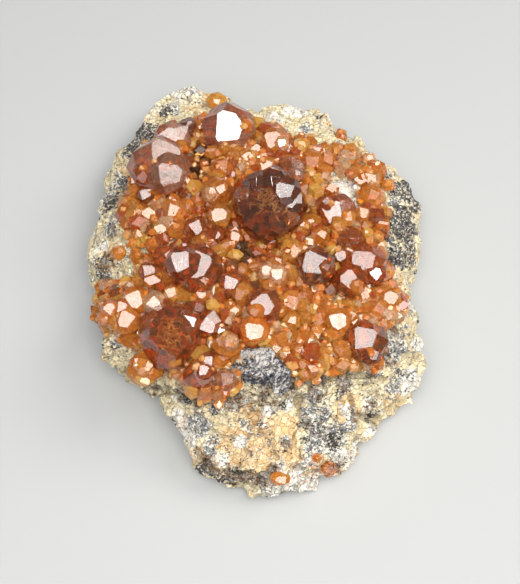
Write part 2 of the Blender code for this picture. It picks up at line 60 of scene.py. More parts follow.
# The photograph's view. A place in the picture, in pixels, and a height give a place on the specimen.
PIXELS_PER_MM = 5.93
VIEW_DISTANCE = 210 * MM
VIEW_ELEVATION = math.radians(62)
PICTURE_CENTRE = (260, 292)
AIM_POINT = Vector((0.8 * MM, -6.3 * MM, 12 * MM))
FOCAL_PIXELS = PIXELS_PER_MM * VIEW_DISTANCE / MM
VIEW_RIGHT = Vector((1, 0, 0))
VIEW_BACK = Vector((0, -math.cos(VIEW_ELEVATION), math.sin(VIEW_ELEVATION)))
VIEW_UP = Vector((0, math.sin(VIEW_ELEVATION), math.cos(VIEW_ELEVATION)))
EYE = AIM_POINT + VIEW_BACK * VIEW_DISTANCE
SENSOR = 36
GLINT_PLACE = AIM_POINT + (VIEW_BACK + VIEW_RIGHT * 0.02 + VIEW_UP * 0.03) * 450 * MM
TOP_OF_BED = 18 * MM

# The ground that the garnets cover, clockwise from the back left
DRUSE_OUTLINE = [
    (153, 142), (168, 131), (187, 126), (215, 116), (240, 116), (258, 126), (275, 135), (298, 145),
    (322, 149), (348, 163), (376, 175), (374, 192), (382, 215), (378, 230), (382, 252), (388, 283),
    (400, 290), (398, 312), (385, 328), (380, 365), (350, 364), (318, 372), (300, 380), (290, 362),
    (262, 342), (245, 345), (238, 385), (222, 398), (200, 400), (184, 378), (150, 362), (135, 340),
    (112, 334), (96, 330), (95, 312), (104, 292), (136, 284), (144, 264), (130, 238), (128, 205),
    (141, 168),
]
# Openings in it where the rock shows: place and radius
ROCK_WINDOWS = [
    (333, 180, 3.3 * MM), (354, 200, 3.8 * MM), (346, 187, 3.4 * MM), (376, 206, 1.6 * MM),
    (145, 256, 1.8 * MM), (322, 336, 1.4 * MM),
]

# The leading garnets: place, width in mm, height of the centre over the rock in half widths, colour, and
# for some how the bright face lies off the mirror of the light (right, up, turn in degrees)
LEADING_GARNETS = [
    (160, 166, 10.6, 0.42, "cinnamon", (0.5, 0.7, 20)),
    (172, 142, 7.6, 0.4, "cinnamon", (-0.05, 0.16, 65)), (228, 129, 9.8, 0.55, "cinnamon", (0, 0, 10)),
    (188, 130, 4.6, 0.5, "deep"), (270, 206, 12.8, 0.6, "deep", (-0.9, -0.5, 35)),
    (290, 172, 6.0, 0.5, "red"), (197, 268, 8.6, 0.55, "brown", (0.25, 0, 0)),
    (172, 335, 11.0, 0.55, "brown"), (117, 314, 6.2, 0.3, "amber"),
    (335, 213, 7.4, 0.4, "red", (-0.1, 0, 50)), (315, 266, 7.2, 0.5, "deep", (-0.15, 0.25, 15)),
    (366, 265, 7.2, 0.5, "red", (-0.25, 0.3, 40)), (350, 281, 5.8, 0.6, "red", (0.15, 0.3, 80)),
    (366, 342, 7.4, 0.5, "brown", (0, 0.2, 30)), (264, 305, 6.2, 0.5, "red", (0.1, 0.1, 70)),
    (254, 331, 5.2, 0.6, "orange", (0.1, 0.05, 25)), (200, 376, 5.8, 0.4, "red"),
    (145, 368, 5.8, 0.4, "amber"), (275, 142, 5.6, 0.5, "orange", (-0.3, 0.25, 45)),
    (272, 277, 6.2, 0.5, "orange"), (136, 300, 5.0, 0.7, "orange", (0, 0.1, 55)),
    (128, 321, 5.0, 0.7, "orange", (-0.2, 0.1, 5)), (154, 303, 4.2, 0.6, "pale", (0.1, 0, 75)),
    (165, 257, 4.6, 0.5, "red"), (216, 194, 5.4, 0.5, "orange"),
    (220, 217, 4.6, 0.6, "amber", (-0.1, 0.1, 30)), (197, 228, 4.4, 0.5, "red", (0, 0.2, 60)),
    (136, 216, 4.6, 0.4, "amber"), (209, 324, 5.0, 0.6, "red", (0, -0.1, 85)),
    (226, 345, 5.2, 0.4, "orange"), (226, 381, 4.2, 0.4, "cinnamon", (0.3, 0.42, 40)),
    (232, 284, 4.8, 0.6, "red", (-0.1, 0, 12)), (242, 294, 4.6, 0.4, "orange"),
    (289, 302, 5.0, 0.4, "orange"), (338, 321, 4.8, 0.5, "orange", (0.1, 0, 42)),
    (344, 350, 3.8, 0.5, "orange"), (371, 198, 5.0, 0.4, "amber"), (376, 171, 4.0, 0.4, "orange"),
    (343, 168, 4.2, 0.3, "pale"), (312, 162, 4.6, 0.5, "orange", (0, -0.25, 20)),
    (350, 240, 4.6, 0.6, "red"), (320, 238, 3.8, 0.6, "orange"), (298, 232, 3.2, 0.6, "orange"),
    (291, 252, 4.4, 0.5, "amber"), (341, 257, 3.6, 0.6, "red", (0.2, 0.2, 50)),
    (221, 169, 3.8, 0.6, "orange"), (181, 149, 3.2, 1.4, "orange"), (187, 161, 2.8, 1.3, "red"),
    (266, 166, 3.8, 0.5, "orange", (0.1, 0.1, 28)), (248, 158, 3.4, 0.5, "amber", (0, 0.2, 66)),
    (147, 195, 3.8, 0.5, "red", (-0.1, 0.1, 38)), (174, 212, 3.8, 0.6, "orange", (-0.1, 0.3, 14)),
    (160, 229, 3.4, 0.5, "amber", (0.2, 0.1, 47)), (235, 238, 2.8, 0.7, "orange", (0, 0.3, 22)),
    (235, 256, 2.6, 0.7, "gold"), (149, 273, 3.8, 0.5, "red", (0, 0.2, 33)),
    (172, 294, 3.2, 0.8, "amber", (-0.2, 0.3, 58)), (196, 309, 4.0, 0.5, "red"),
    (213, 305, 2.6, 0.9, "gold"), (390, 300, 4.0, 0.4, "amber", (0.1, 0.3, 18)),
    (222, 334, 3.0, 0.7, "red", (0, 0, 9)), (202, 294, 3.0, 0.7, "orange", (0.1, 0.1, 52)),
]

# Smaller garnets that the photograph shows one by one: place, width in pixels and colour
MIDDLE_GARNETS = [
    (173, 210, 20, "orange"), (166, 224, 17, "pale"), (152, 231, 16, "red"), (138, 236, 15, "amber"),
    (175, 232, 14, "orange"), (134, 205, 14, "amber"), (150, 214, 15, "amber"), (218, 235, 18, "red"),
    (159, 194, 13, "amber"), (187, 196, 16, "red"), (198, 185, 13, "red"), (242, 167, 13, "pale"),
    (236, 153, 14, "amber"), (262, 157, 14, "orange"), (240, 185, 14, "amber"), (268, 127, 13, "orange"),
    (325, 149, 13, "orange"), (337, 149, 14, "amber"), (349, 151, 16, "amber"), (341, 137, 13, "amber"),
    (357, 157, 12, "pale"), (368, 159, 12, "pale"), (325, 190, 14, "amber"), (309, 188, 14, "orange"),
    (374, 218, 21, "red"), (299, 207, 12, "pale"), (344, 226, 12, "orange"), (383, 234, 12, "red"),
    (204, 344, 12, "red"), (206, 362, 18, "red"), (221, 293, 15, "orange"), (230, 306, 13, "orange"),
    (229, 319, 13, "pale"), (249, 315, 15, "pale"), (232, 266, 16, "red"), (220, 251, 16, "amber"),
    (185, 291, 13, "orange"), (106, 308, 18, "amber"), (108, 325, 16, "amber"), (140, 344, 13, "amber"),
    (118, 293, 17, "red"), (292, 322, 19, "amber"), (305, 297, 14, "orange"), (306, 309, 13, "amber"),
    (326, 309, 18, "orange"), (348, 305, 14, "amber"), (362, 295, 14, "orange"), (376, 293, 13, "amber"),
    (364, 309, 12, "orange"), (391, 311, 15, "amber"), (377, 307, 16, "orange"), (330, 334, 15, "amber"),
    (298, 336, 11, "amber"), (310, 341, 10, "pale"), (303, 350, 12, "amber"), (318, 352, 12, "orange"),
    (320, 362, 14, "amber"), (302, 364, 14, "orange"), (306, 375, 12, "orange"), (334, 363, 11, "orange"),
    (346, 364, 10, "orange"), (357, 366, 11, "amber"), (279, 342, 17, "orange"), (284, 355, 13, "amber"),
    (318, 330, 11, "amber"), (294, 150, 13, "orange"), (300, 140, 12, "amber"), (324, 170, 14, "orange"),
    (330, 160, 12, "orange"), (250, 145, 11, "amber"), (388, 185, 12, "amber"), (212, 150, 13, "red"),
    (143, 178, 13, "orange"), (141, 156, 13, "red"), (200, 151, 13, "deep"), (196, 166, 13, "deep"),
    (206, 176, 12, "deep"), (204, 163, 10, "red"), (246, 262, 12, "deep"), (240, 247, 11, "deep"),
    (333, 248, 11, "deep"), (284, 247, 10, "deep"), (222, 312, 10, "deep"), (309, 233, 10, "deep"),
    (252, 251, 9, "red"), (325, 364, 13, "gold"), (318, 371, 11, "gold"), (388, 310, 14, "gold"),
    (332, 333, 12, "gold"), (304, 331, 11, "pale"), (303, 304, 11, "gold"), (354, 366, 10, "gold"),
    (347, 304, 11, "gold"), (364, 297, 12, "pale"), (357, 306, 11, "pale"), (290, 251, 12, "gold"),
    (297, 357, 12, "gold"), (304, 374, 11, "gold"), (284, 326, 11, "gold"), (293, 305, 11, "pale"),
    (340, 352, 13, "pale"), (168, 268, 11, "gold"), (172, 293, 12, "gold"), (107, 308, 12, "gold"),
    (116, 299, 11, "gold"), (139, 344, 11, "gold"), (160, 312, 10, "gold"), (320, 191, 11, "gold"),
    (341, 134, 11, "gold"), (236, 236, 10, "gold"), (313, 345, 11, "pale"), (330, 350, 10, "gold"),
    (372, 322, 11, "pale"), (196, 363, 15, "orange"), (288, 236, 12, "orange"), (262, 246, 13, "amber"),
    (103, 318, 12, "pale"), (110, 300, 11, "pale"), (124, 330, 12, "amber"), (99, 303, 11, "amber"),
    (131, 287, 11, "pale"), (181, 300, 12, "pale"), (372, 186, 12, "pale"), (360, 213, 12, "pale"),
    (326, 176, 11, "pale"), (380, 206, 11, "pale"), (366, 226, 12, "amber"), (153, 245, 14, "orange"),
    (186, 244, 14, "red"), (243, 270, 13, "orange"), (258, 288, 14, "red"), (380, 330, 13, "orange"),
    (352, 322, 12, "orange"), (385, 275, 13, "orange"), (330, 288, 14, "red"), (216, 362, 13, "orange"),
    (189, 360, 13, "red"), (213, 392, 12, "orange"), (178, 374, 11, "amber"), (207, 244, 13, "orange"),
    (278, 262, 13, "orange"), (262, 262, 14, "red"), (300, 283, 13, "orange"),
]

# Smaller garnets grown on the flanks of leading ones: number of the leading one, how far right and up of
# its centre in its half widths, width in mm, colour, and for some how the bright face lies
FLANK_GARNETS = [
    (4, 0.46, 0.42, 5.4, "deep", (0.1, -0.05, 12)), (4, 0.72, 0.06, 4.0, "deep", (-0.1, 0.1, 60)),
    (4, 0.1, 0.74, 4.8, "deep"), (4, -0.42, 0.66, 4.4, "deep"), (4, 0.62, -0.42, 3.4, "red"),
    (4, -0.78, 0.3, 3.6, "red"), (6, -0.62, 0.22, 6.0, "brown", (0.0, 0.1, 40)),
    (6, 0.3, -0.7, 3.2, "red"), (0, 0.42, -0.38, 7.4, "cinnamon", (0.14, -0.16, 12)),
    (0, -0.62, -0.4, 3.8, "red"), (2, 0.78, 0.05, 3.4, "orange"), (2, -0.15, -0.84, 3.2, "amber"),
    (2, 0.3, -0.82, 2.8, "amber"), (7, 0.66, 0.46, 4.0, "red", (0, 0.05, 20)),
    (7, -0.6, 0.56, 3.6, "red"), (7, 0.1, -0.86, 3.0, "amber"), (10, 0.62, -0.1, 3.4, "red"),
    (11, 0.52, -0.52, 3.6, "red", (0.05, 0, 65)), (13, 0.2, -0.7, 3.2, "deep"),
    (9, 0.15, -0.72, 3.6, "amber"), (9, 0.66, -0.3, 3.0, "amber"),
    (8, 0.45, 0.35, 3.6, "orange", (0, 0.1, 15)), (8, -0.4, 0.3, 3.4, "orange", (0.1, 0.1, 70)),
    (8, 0.05, -0.5, 3.4, "amber"), (8, -0.65, -0.25, 3.0, "orange"), (8, 0.7, -0.3, 2.8, "pale"),
    (19, 0.35, 0.15, 3.4, "pale", (0.0, 0.1, 33)), (19, -0.35, 0.4, 3.0, "pale", (0.1, -0.1, 5)),
    (19, -0.2, -0.6, 3.0, "orange"), (24, 0.4, 0.3, 2.8, "orange", (0.1, 0.1, 50)),
    (24, -0.45, -0.1, 3.0, "pale"), (17, 0.4, -0.3, 2.8, "orange"),
    (17, -0.35, 0.4, 3.0, "orange", (0.1, 0.1, 25)), (17, 0.05, -0.6, 3.0, "gold"),
    (17, -0.65, -0.25, 2.6, "amber"), (17, 0.05, 0.1, 3.4, "amber"),
    (16, 0.3, 0.4, 3.0, "red", (0, 0.1, 20)), (18, 0.5, -0.2, 2.8, "pale", (0.05, 0, 30)),
    (9, -0.55, 0.45, 2.8, "red"), (5, 0.3, -0.3, 3.2, "cinnamon"), (12, 0.4, -0.4, 2.8, "orange"),
    (14, -0.5, -0.4, 3.0, "orange"), (29, 0.3, 0.3, 2.8, "pale"),
]
# How far their centres are from its own, in its half widths
FLANK_DEPTH = 0.80
# How bright the placed garnets are, from 0 to 1, and how the smaller ones sit on the rock and are scaled
LARGE_TONES = (0.3, 0.9)
MIDDLE_TONES = (0.2, 1.0)
MIDDLE_LIFT = 0.55
MIDDLE_SCALE = 1.08
TONE_SEED = 77
MIDDLE_SEED = 300

# Garnets that stand alone on the rock: node, place, width in mm, lift, stretch and colour
LONE_GARNETS = [
    ("garnet_north", (217, 101), 3.4, 0.55, (1.2, 1.0, 0.8), "gold"),
    ("garnet_west", (119, 253), 3.0, 0.40, (1.0, 1.0, 1.0), "amber"),
    ("garnet_south", (329, 469), 2.8, 0.10, (1.0, 1.0, 1.0), "deep"),
    ("garnet_south_middle", (280, 478), 2.4, 0.10, (1.3, 1.0, 0.8), "amber"),
    ("garnet_south_small", (317, 458), 1.6, 0.25, (1.0, 1.0, 1.0), "amber"),
]
LONE_GARNET_SEED = 500
LONE_GARNET_TONE = 0.15

# Each colour of garnet: what 1 mm of it takes from red, green and blue light, its tint, and how much
# light it lets through
GARNET_COLOURS = {
    "deep": ((0.056, 0.145, 0.31), (1.00, 0.60, 0.34), 0.96),
    "brown": ((0.024, 0.160, 0.42), (1.00, 0.525, 0.20), 0.94),
    "cinnamon": ((0.018, 0.100, 0.20), (0.98, 0.56, 0.36), 0.86),
    "red": ((0.014, 0.160, 0.44), (1.00, 0.42, 0.14), 0.90),
    "ember": ((0.030, 0.300, 0.90), (1.00, 0.28, 0.07), 0.78),
    "orange": ((0.003, 0.150, 0.60), (1.00, 0.38, 0.07), 0.68),
    "amber": ((0.001, 0.090, 0.46), (1.00, 0.455, 0.085), 0.68),
    "gold": ((0.001, 0.060, 0.42), (1.00, 0.58, 0.13), 0.56),
    "pale": ((0.004, 0.070, 0.20), (1.00, 0.62, 0.34), 0.66),
}
GARNET_IOR = 1.80
GARNET_ROUGHNESS = 0.02
# What is left of the tint's red, green and blue on dull faces and in streaks, and how far clouds
# brighten it
DULL_SHARES = (0.88, 0.66, 0.50)
STREAK_SHARES = (0.72, 0.46, 0.36)
CLOUD_GAIN = 1.25

# Garnets with golden threads inside: number of the leading one, and how many threads
THREADED_GARNETS = [(4, 66), (7, 84), (2, 12)]
THREAD_RADIUS = (0.08 * MM, 0.22 * MM)
THREAD_STEPS = 9
THREAD_STEP = 0.30 * MM
THREAD_REACH = 0.85
# Where they start in half widths of the garnet (right, up, to the viewer), how far they spread and bend,
# and how much they are pulled back to its middle
THREAD_START = (0.02, 0.02, 0.72)
THREAD_SPREAD = 0.17
THREAD_BEND = 0.35
THREAD_PULL = 0.3
THREAD_SEED = 58
LEAST_STEPS = 4
THREAD_COLOURS = ((0.62, 0.34, 0.10), (1.0, 0.95, 0.78))

# Deep gaps between the garnets, where shade is painted dark on the ground: place, radius in pixels
PAINTED_SHADE_GAPS = [
    (204, 174, 15), (200, 160, 13), (201, 149, 10), (246, 258, 14), (240, 244, 9), (332, 246, 10),
    (283, 248, 8), (222, 312, 6), (334, 288, 6), (309, 232, 7),
]
# The share of a gap's radius that seeded garnets leave free
GAP_SHARE = 0.95
# How far the right and up of a bright face count against the mirror of the light
FACING_SHARE = 0.5

# Seeded garnets between the placed ones: width, spacing, places tried, and how far they pass the outline
DRUSE_SEED = 31
FILLER_WIDTH = (1.9 * MM, 3.3 * MM)
FILLER_SPACING = 1.75 * MM
FILLER_TRIES = 9000
FILLER_REACH = 0.6 * MM
SEEDED_LIFT = (0.15, 0.75)
HIDDEN_INSIDE = 0.40
# The druse is deep red round this place and turns pale and golden away from it
DRUSE_HEART = (235, 245)
HEART_REACH = 19 * MM
FILLER_COLOURS = ("orange", "amber", "ember", "pale", "gold")
HEART_SHARES = (34, 8, 50, 5, 2)
EDGE_SHARES = (34, 20, 20, 16, 12)
CRUMB_WIDTH = (0.8 * MM, 1.6 * MM)
CRUMB_SPACING = 0.95 * MM
CRUMB_TRIES = 16000
CRUMB_REACH = 1.1 * MM
# Their tone: the share of chance, the share of the place in the druse, and what is taken off
CRUMB_TONE = (0.75, 0.35, 0.05)
CRUMB_COLOURS = ((0.42, 0.06, 0.012), (0.90, 0.28, 0.04), (1.0, 0.56, 0.18))

# Tiny garnets that grow on the sides and tops of others: how many, width, how deep they sit, the height
# above which a garnet carries none, and how far they keep to its top
SATELLITES = 520
SATELLITE_WIDTH = (0.7 * MM, 1.5 * MM)
SATELLITE_DEPTH = 0.86
SATELLITE_TOP = 20.5 * MM
SATELLITE_RISE = 0.3

# Patches of the rock, read from the photograph. For each kind, how many more are seeded where the
# photograph doesn't look, and the place and radius of the others in pixels
ROCK_PATCHES = {
    "dark": (26, [
        (140, 138, 20), (128, 150, 10), (100, 276, 10), (406, 190, 18), (395, 225, 14), (412, 222, 14),
        (398, 258, 11), (410, 245, 12), (320, 376, 9), (332, 442, 8), (318, 430, 9), (305, 440, 7),
        (180, 401, 12), (235, 478, 12), (210, 475, 10), (256, 484, 8), (222, 482, 9), (200, 470, 8),
        (110, 200, 11), (113, 350, 9), (355, 410, 6), (402, 372, 7), (375, 418, 8), (340, 395, 7),
        (150, 385, 7), (402, 208, 12), (388, 175, 9), (415, 205, 9), (391, 238, 9), (405, 262, 10),
        (380, 335, 8), (385, 352, 8), (212, 412, 7), (285, 408, 6), (258, 424, 5), (100, 215, 8),
        (122, 180, 9), (98, 260, 7), (410, 230, 13), (400, 190, 9), (395, 250, 8), (414, 262, 8),
        (165, 110, 8), (320, 118, 6),
    ]),
    "grey": (22, [
        (390, 343, 18), (395, 385, 12), (200, 427, 14), (213, 444, 10), (305, 125, 10), (310, 413, 9),
        (347, 427, 10), (277, 412, 9), (115, 185, 14), (108, 225, 12), (325, 436, 22), (400, 205, 12),
        (172, 105, 9), (320, 455, 8), (245, 425, 7), (285, 440, 7), (312, 400, 11), (345, 386, 11),
        (300, 384, 10), (228, 405, 8), (215, 446, 7), (268, 458, 6), (232, 440, 5), (378, 378, 9),
        (290, 396, 9),
    ]),
    "warm": (26, [
        (262, 440, 36), (245, 415, 15), (290, 440, 16), (352, 412, 20), (395, 400, 14), (127, 170, 12),
        (108, 258, 12), (398, 278, 13), (215, 95, 16), (195, 458, 12), (370, 430, 10), (300, 460, 14),
        (240, 100, 8), (330, 120, 9), (362, 145, 9),
    ]),
    "white": (20, [
        (178, 425, 14), (180, 440, 10), (290, 489, 26), (318, 484, 18), (272, 491, 12), (350, 410, 10),
        (370, 407, 8), (410, 383, 12), (187, 90, 13), (275, 116, 10), (295, 108, 12), (118, 340, 9),
        (352, 203, 10), (338, 186, 9), (415, 300, 9), (418, 345, 8), (100, 245, 8), (289, 409, 8),
        (240, 442, 7), (222, 462, 8), (346, 190, 14), (362, 184, 9), (365, 160, 8), (390, 172, 8),
        (340, 460, 12), (352, 452, 8), (300, 470, 8), (270, 412, 6), (372, 428, 7), (105, 300, 8),
    ]),
    # Brown soil, and painted shade in the undercuts at the bottom front and under the druse's front edge
    "brown": (14, [
        (225, 475, 15), (206, 468, 12), (250, 479, 12), (238, 484, 10), (260, 399, 15), (290, 393, 16),
        (192, 402, 15), (178, 394, 12), (372, 407, 9), (352, 419, 6), (304, 428, 8), (238, 405, 14),
        (320, 392, 14), (354, 439, 5), (345, 384, 14), (105, 262, 12), (110, 232, 10), (262, 484, 9),
        (372, 380, 11), (214, 470, 9), (238, 480, 9), (285, 444, 7), (332, 467, 8), (270, 470, 8),
        (148, 388, 12), (392, 362, 10), (398, 330, 9), (120, 190, 9), (388, 262, 10), (250, 455, 5),
    ]),
}
HIDDEN_REACH = (1.2 * MM, 4.0 * MM)
UNSEEN_TILT = 0.05
UNSEEN_FADE = 0.2
# How patches fade, in their radius: how far the edge wobbles, where it starts, and how wide it is
PATCH_WOBBLE = 0.5
PATCH_START = 0.7
PATCH_FADE = 0.6

# Cracks and undercuts of the rock: line of places, depth, half width
ROCK_CRACKS = [
    ([(155, 388), (175, 400), (195, 407), (215, 400), (235, 396)], 1.1 * MM, 0.8 * MM),
    ([(285, 391), (310, 385), (340, 378), (365, 376), (385, 380)], 0.9 * MM, 0.7 * MM),
    ([(186, 456), (200, 466), (222, 473), (245, 476), (270, 480)], 1.3 * MM, 0.9 * MM),
    ([(300, 400), (305, 420), (298, 440)], 0.6 * MM, 0.5 * MM),
    ([(378, 425), (360, 415), (352, 398)], 0.7 * MM, 0.5 * MM),
    ([(270, 470), (300, 468), (325, 476)], 0.6 * MM, 0.5 * MM),
]

# Where the rock swells, at its back edge and in an opening: place, radius in pixels, height
ROCK_SWELLS = [
    (190, 93, 22, 1.5 * MM), (222, 102, 20, 1.8 * MM), (350, 135, 16, 0.9 * MM), (344, 191, 24, 1.2 * MM),
]

# The rock: cell of its mesh, how far its grains may stand out, and how its cracks and pits are drawn
ROCK_SEED = 21
ROCK_CELL = 0.40 * MM
STAND_LIMIT = 0.95 * MM
CRACK_WANDER = 0.5 * MM
# Painted shade in cracks is full at this crack depth
CRACK_SHADE = 0.7 * MM
CRACK_CORE = 0.4
# Share of the cracks' painted shade in the recess shade
CRACK_SHADE_SHARE = 0.8
# Painted shade in pits is full in hollows this deep below their neighbours' mean over these rounds
PIT_DEPTH = 0.22 * MM
PIT_ROUNDS = 8
# The rock's grains: size and height. Those over the even size are evened out, so that no spike stands up
GRAIN_LAYERS = [(5.0 * MM, 1.2 * MM), (2.3 * MM, 0.85 * MM), (1.0 * MM, 0.30 * MM)]
EVEN_SIZE = 4 * MM
EVEN_ROUNDS = 3
# Noises over the rock: size and offset
WOBBLE_NOISE = (2.2 * MM, 3)
FINE_NOISE = (0.7 * MM, 9)
SHADOW_NOISE = (1.7 * MM, 17)
FINE_HEIGHT = 0.10 * MM
# The flat underside: up to where the rock keeps its solid's shape, and how soon it gets its own
FOOT = 0.3 * MM
FOOT_FADE = 1.2 * MM
# The bed of the garnets: how it fades at its edge and where the rock turns away, and how far it is calmer
UP_TILT = 0.1
UP_FADE = 0.3
BED_EDGE = 1.0 * MM
BED_FADE = 1.6 * MM
BED_CALM = 0.8
# Painted shade on the crust under the garnets: its strength in the gaps, the strength, level and fade of
# its noise patches of painted shadow, and its darkest
GAP_SHADE_STRENGTH = 1.4
SHADOW_STRENGTH = 0.85
SHADOW_SHIFT = 0.02
SHADOW_FADE = 0.20
DARKEST_BED_SHADE = 1.25

# Colours of the rock: the darkest and the lightest grains of each kind, and single ones
CREAM = ((0.70, 0.58, 0.34), (0.91, 0.83, 0.58))
PEACH = ((0.70, 0.44, 0.19), (0.92, 0.74, 0.46))
CHALK = ((0.80, 0.76, 0.65), (0.96, 0.94, 0.87))
SMOKE = ((0.10, 0.105, 0.11), (0.42, 0.42, 0.41))
BLACK = ((0.018, 0.018, 0.022), (0.20, 0.19, 0.175))
# Brown soil colours, the darkest of them for painted shade in undercuts
EARTH_AND_SHADE = ((0.050, 0.028, 0.016), (0.34, 0.22, 0.12))
CRUST = ((0.90, 0.62, 0.32), (0.95, 0.84, 0.62))
STAIN = (0.56, 0.46, 0.30)
RUST = (0.56, 0.27, 0.07)
SALT = (0.84, 0.80, 0.70)
DIM_SALT = (0.66, 0.62, 0.52)
SPECK = (0.05, 0.04, 0.035)
CLAY = (0.36, 0.33, 0.29)
# Painted shade in the gaps between the garnets and in patches of their bed
GAP_SHADE_COLOUR = (0.055, 0.015, 0.008)
# Dirt in grain seams, and painted shade in pits and cracks
DIRT_AND_SHADE = (0.07, 0.045, 0.025)

# The smoky quartz: cell, layers of broken ribs as size, height and stretch, and colours
QUARTZ_CELL = 0.18 * MM
QUARTZ_RIBS = [(2.0 * MM, 0.5 * MM, (1, 1, 1)), (0.9 * MM, 0.2 * MM, (1, 1, 2.5))]
QUARTZ_DARK = (0.009, 0.012, 0.025)
QUARTZ_GREY = (0.11, 0.11, 0.12)
QUARTZ_SILVER = (0.50, 0.48, 0.45)
QUARTZ_RUST = (0.40, 0.26, 0.12)

PICTURE_HEIGHT = 584
NEAREST_SEEN = 0.01
FLOOR_HALF = 1.5
FLOOR_COLOUR = (0.44, 0.455, 0.455)
WORLD_COLOUR = (0.98, 0.97, 1.0, 1)
WORLD_STRENGTH = 0.12
CLEAR_BOUNCES = 24
GLOSSY_BOUNCES = 8


def seen_at(place, height):
    """The point at this height that the photograph shows at this place."""
    ray = view_ray(place)
    return EYE + ray * ((height - EYE.z) / ray.z)


def view_ray(place):
    """The way in which the photograph looks at this place."""
    right = (place[0] - PICTURE_CENTRE[0]) / FOCAL_PIXELS
    up = (PICTURE_CENTRE[1] - place[1]) / FOCAL_PIXELS
    return VIEW_RIGHT * right + VIEW_UP * up - VIEW_BACK


def in_view(right, up, back):
    """The direction with these shares of right, up and back to the viewer."""
    return VIEW_RIGHT * right + VIEW_UP * up + VIEW_BACK * back


rock_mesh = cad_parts["matrix"].data
ROCK_TREE = BVHTree.FromPolygons(
    [vertex.co for vertex in rock_mesh.vertices], [list(face.vertices) for face in rock_mesh.polygons]
)


def rock_top(x, y):
    """Height of the rock's top at this place, or nothing beside the rock."""
    hit = ROCK_TREE.ray_cast(Vector((x, y, 1)), Vector((0, 0, -1)))[0]
    return hit.z if hit else 0.0


def on_rock(place, lift=0.0):
    """The point that stands lift above the rock's top where the photograph shows this place."""
    point = seen_at(place, TOP_OF_BED)
    for _ in range(8):
        point = seen_at(place, rock_top(point.x, point.y) + lift)
    return point


def seen_on_rock(place):
    """The point of the rock that the photograph shows at this place."""
    ray = view_ray(place).normalized()
    hit = ROCK_TREE.ray_cast(EYE, ray)[0]
    return hit or ROCK_TREE.find_nearest(seen_at(place, TOP_OF_BED / 2))[0]


def distance_inside(x, y, polygon):
    """Distance of points from the polygon's edge, positive inside it."""
    nearest = np.full(np.shape(x), np.inf)
    inside = np.zeros(np.shape(x), bool)
    for a, b in zip(polygon, polygon[1:] + polygon[:1]):
        side = b - a
        share = np.clip(((x - a.x) * side.x + (y - a.y) * side.y) / side.length_squared, 0, 1)
        nearest = np.minimum(nearest, np.hypot(a.x + side.x * share - x, a.y + side.y * share - y))
        if a.y != b.y:
            inside ^= ((a.y > y) != (b.y > y)) & (x < a.x + side.x * (y - a.y) / side.y)
    return np.where(inside, nearest, -nearest)


DRUSE_GROUND = [on_rock(place).xy for place in DRUSE_OUTLINE]
WINDOW_POINTS = [(on_rock((x, y)).xy, radius) for x, y, radius in ROCK_WINDOWS]


def druse_depth(x, y):
    """How far inside the garnets' ground these points are."""
    depth = distance_inside(x, y, DRUSE_GROUND)
    for centre, radius in WINDOW_POINTS:
        depth = np.minimum(depth, np.hypot(x - centre.x, y - centre.y) - radius)
    return depth


def smooth_step(value):
    """0 under 0, 1 over 1, and smooth between."""
    value = np.clip(value, 0, 1)
    return value * value * (3 - 2 * value)


def evaluated_mesh(obj):
    graph = bpy.context.evaluated_depsgraph_get()
    return bpy.data.meshes.new_from_object(obj.evaluated_get(graph))


def give_material(mesh, material):
    mesh.materials.clear()
    mesh.materials.append(material)


def new_object(name, data, material=None):
    obj = bpy.data.objects.new(name, data)
    bpy.context.scene.collection.objects.link(obj)
    if material:
        give_material(data, material)
    return obj


def points_and_normals(mesh):
    values = np.empty((2, len(mesh.vertices) * 3))
    for row, name in zip(values, ("co", "normal")):
        mesh.vertices.foreach_get(name, row)
    return values.reshape(2, -1, 3)


def set_points(mesh, points):
    mesh.vertices.foreach_set("co", points.ravel())
    mesh.update()


def set_attribute(mesh, name, values, domain="POINT"):
    mesh.attributes.new(name, "FLOAT", domain).data.foreach_set("value", values.astype(np.float32))


def applied(obj, kind, **settings):
    """Gives the object one modifier and applies it."""
    made = obj.modifiers.new(kind.lower(), kind)
    for key, value in settings.items():
        setattr(made, key, value)
    old = obj.data
    obj.data = evaluated_mesh(obj)
    obj.modifiers.remove(made)
    bpy.data.meshes.remove(old)


# Materials


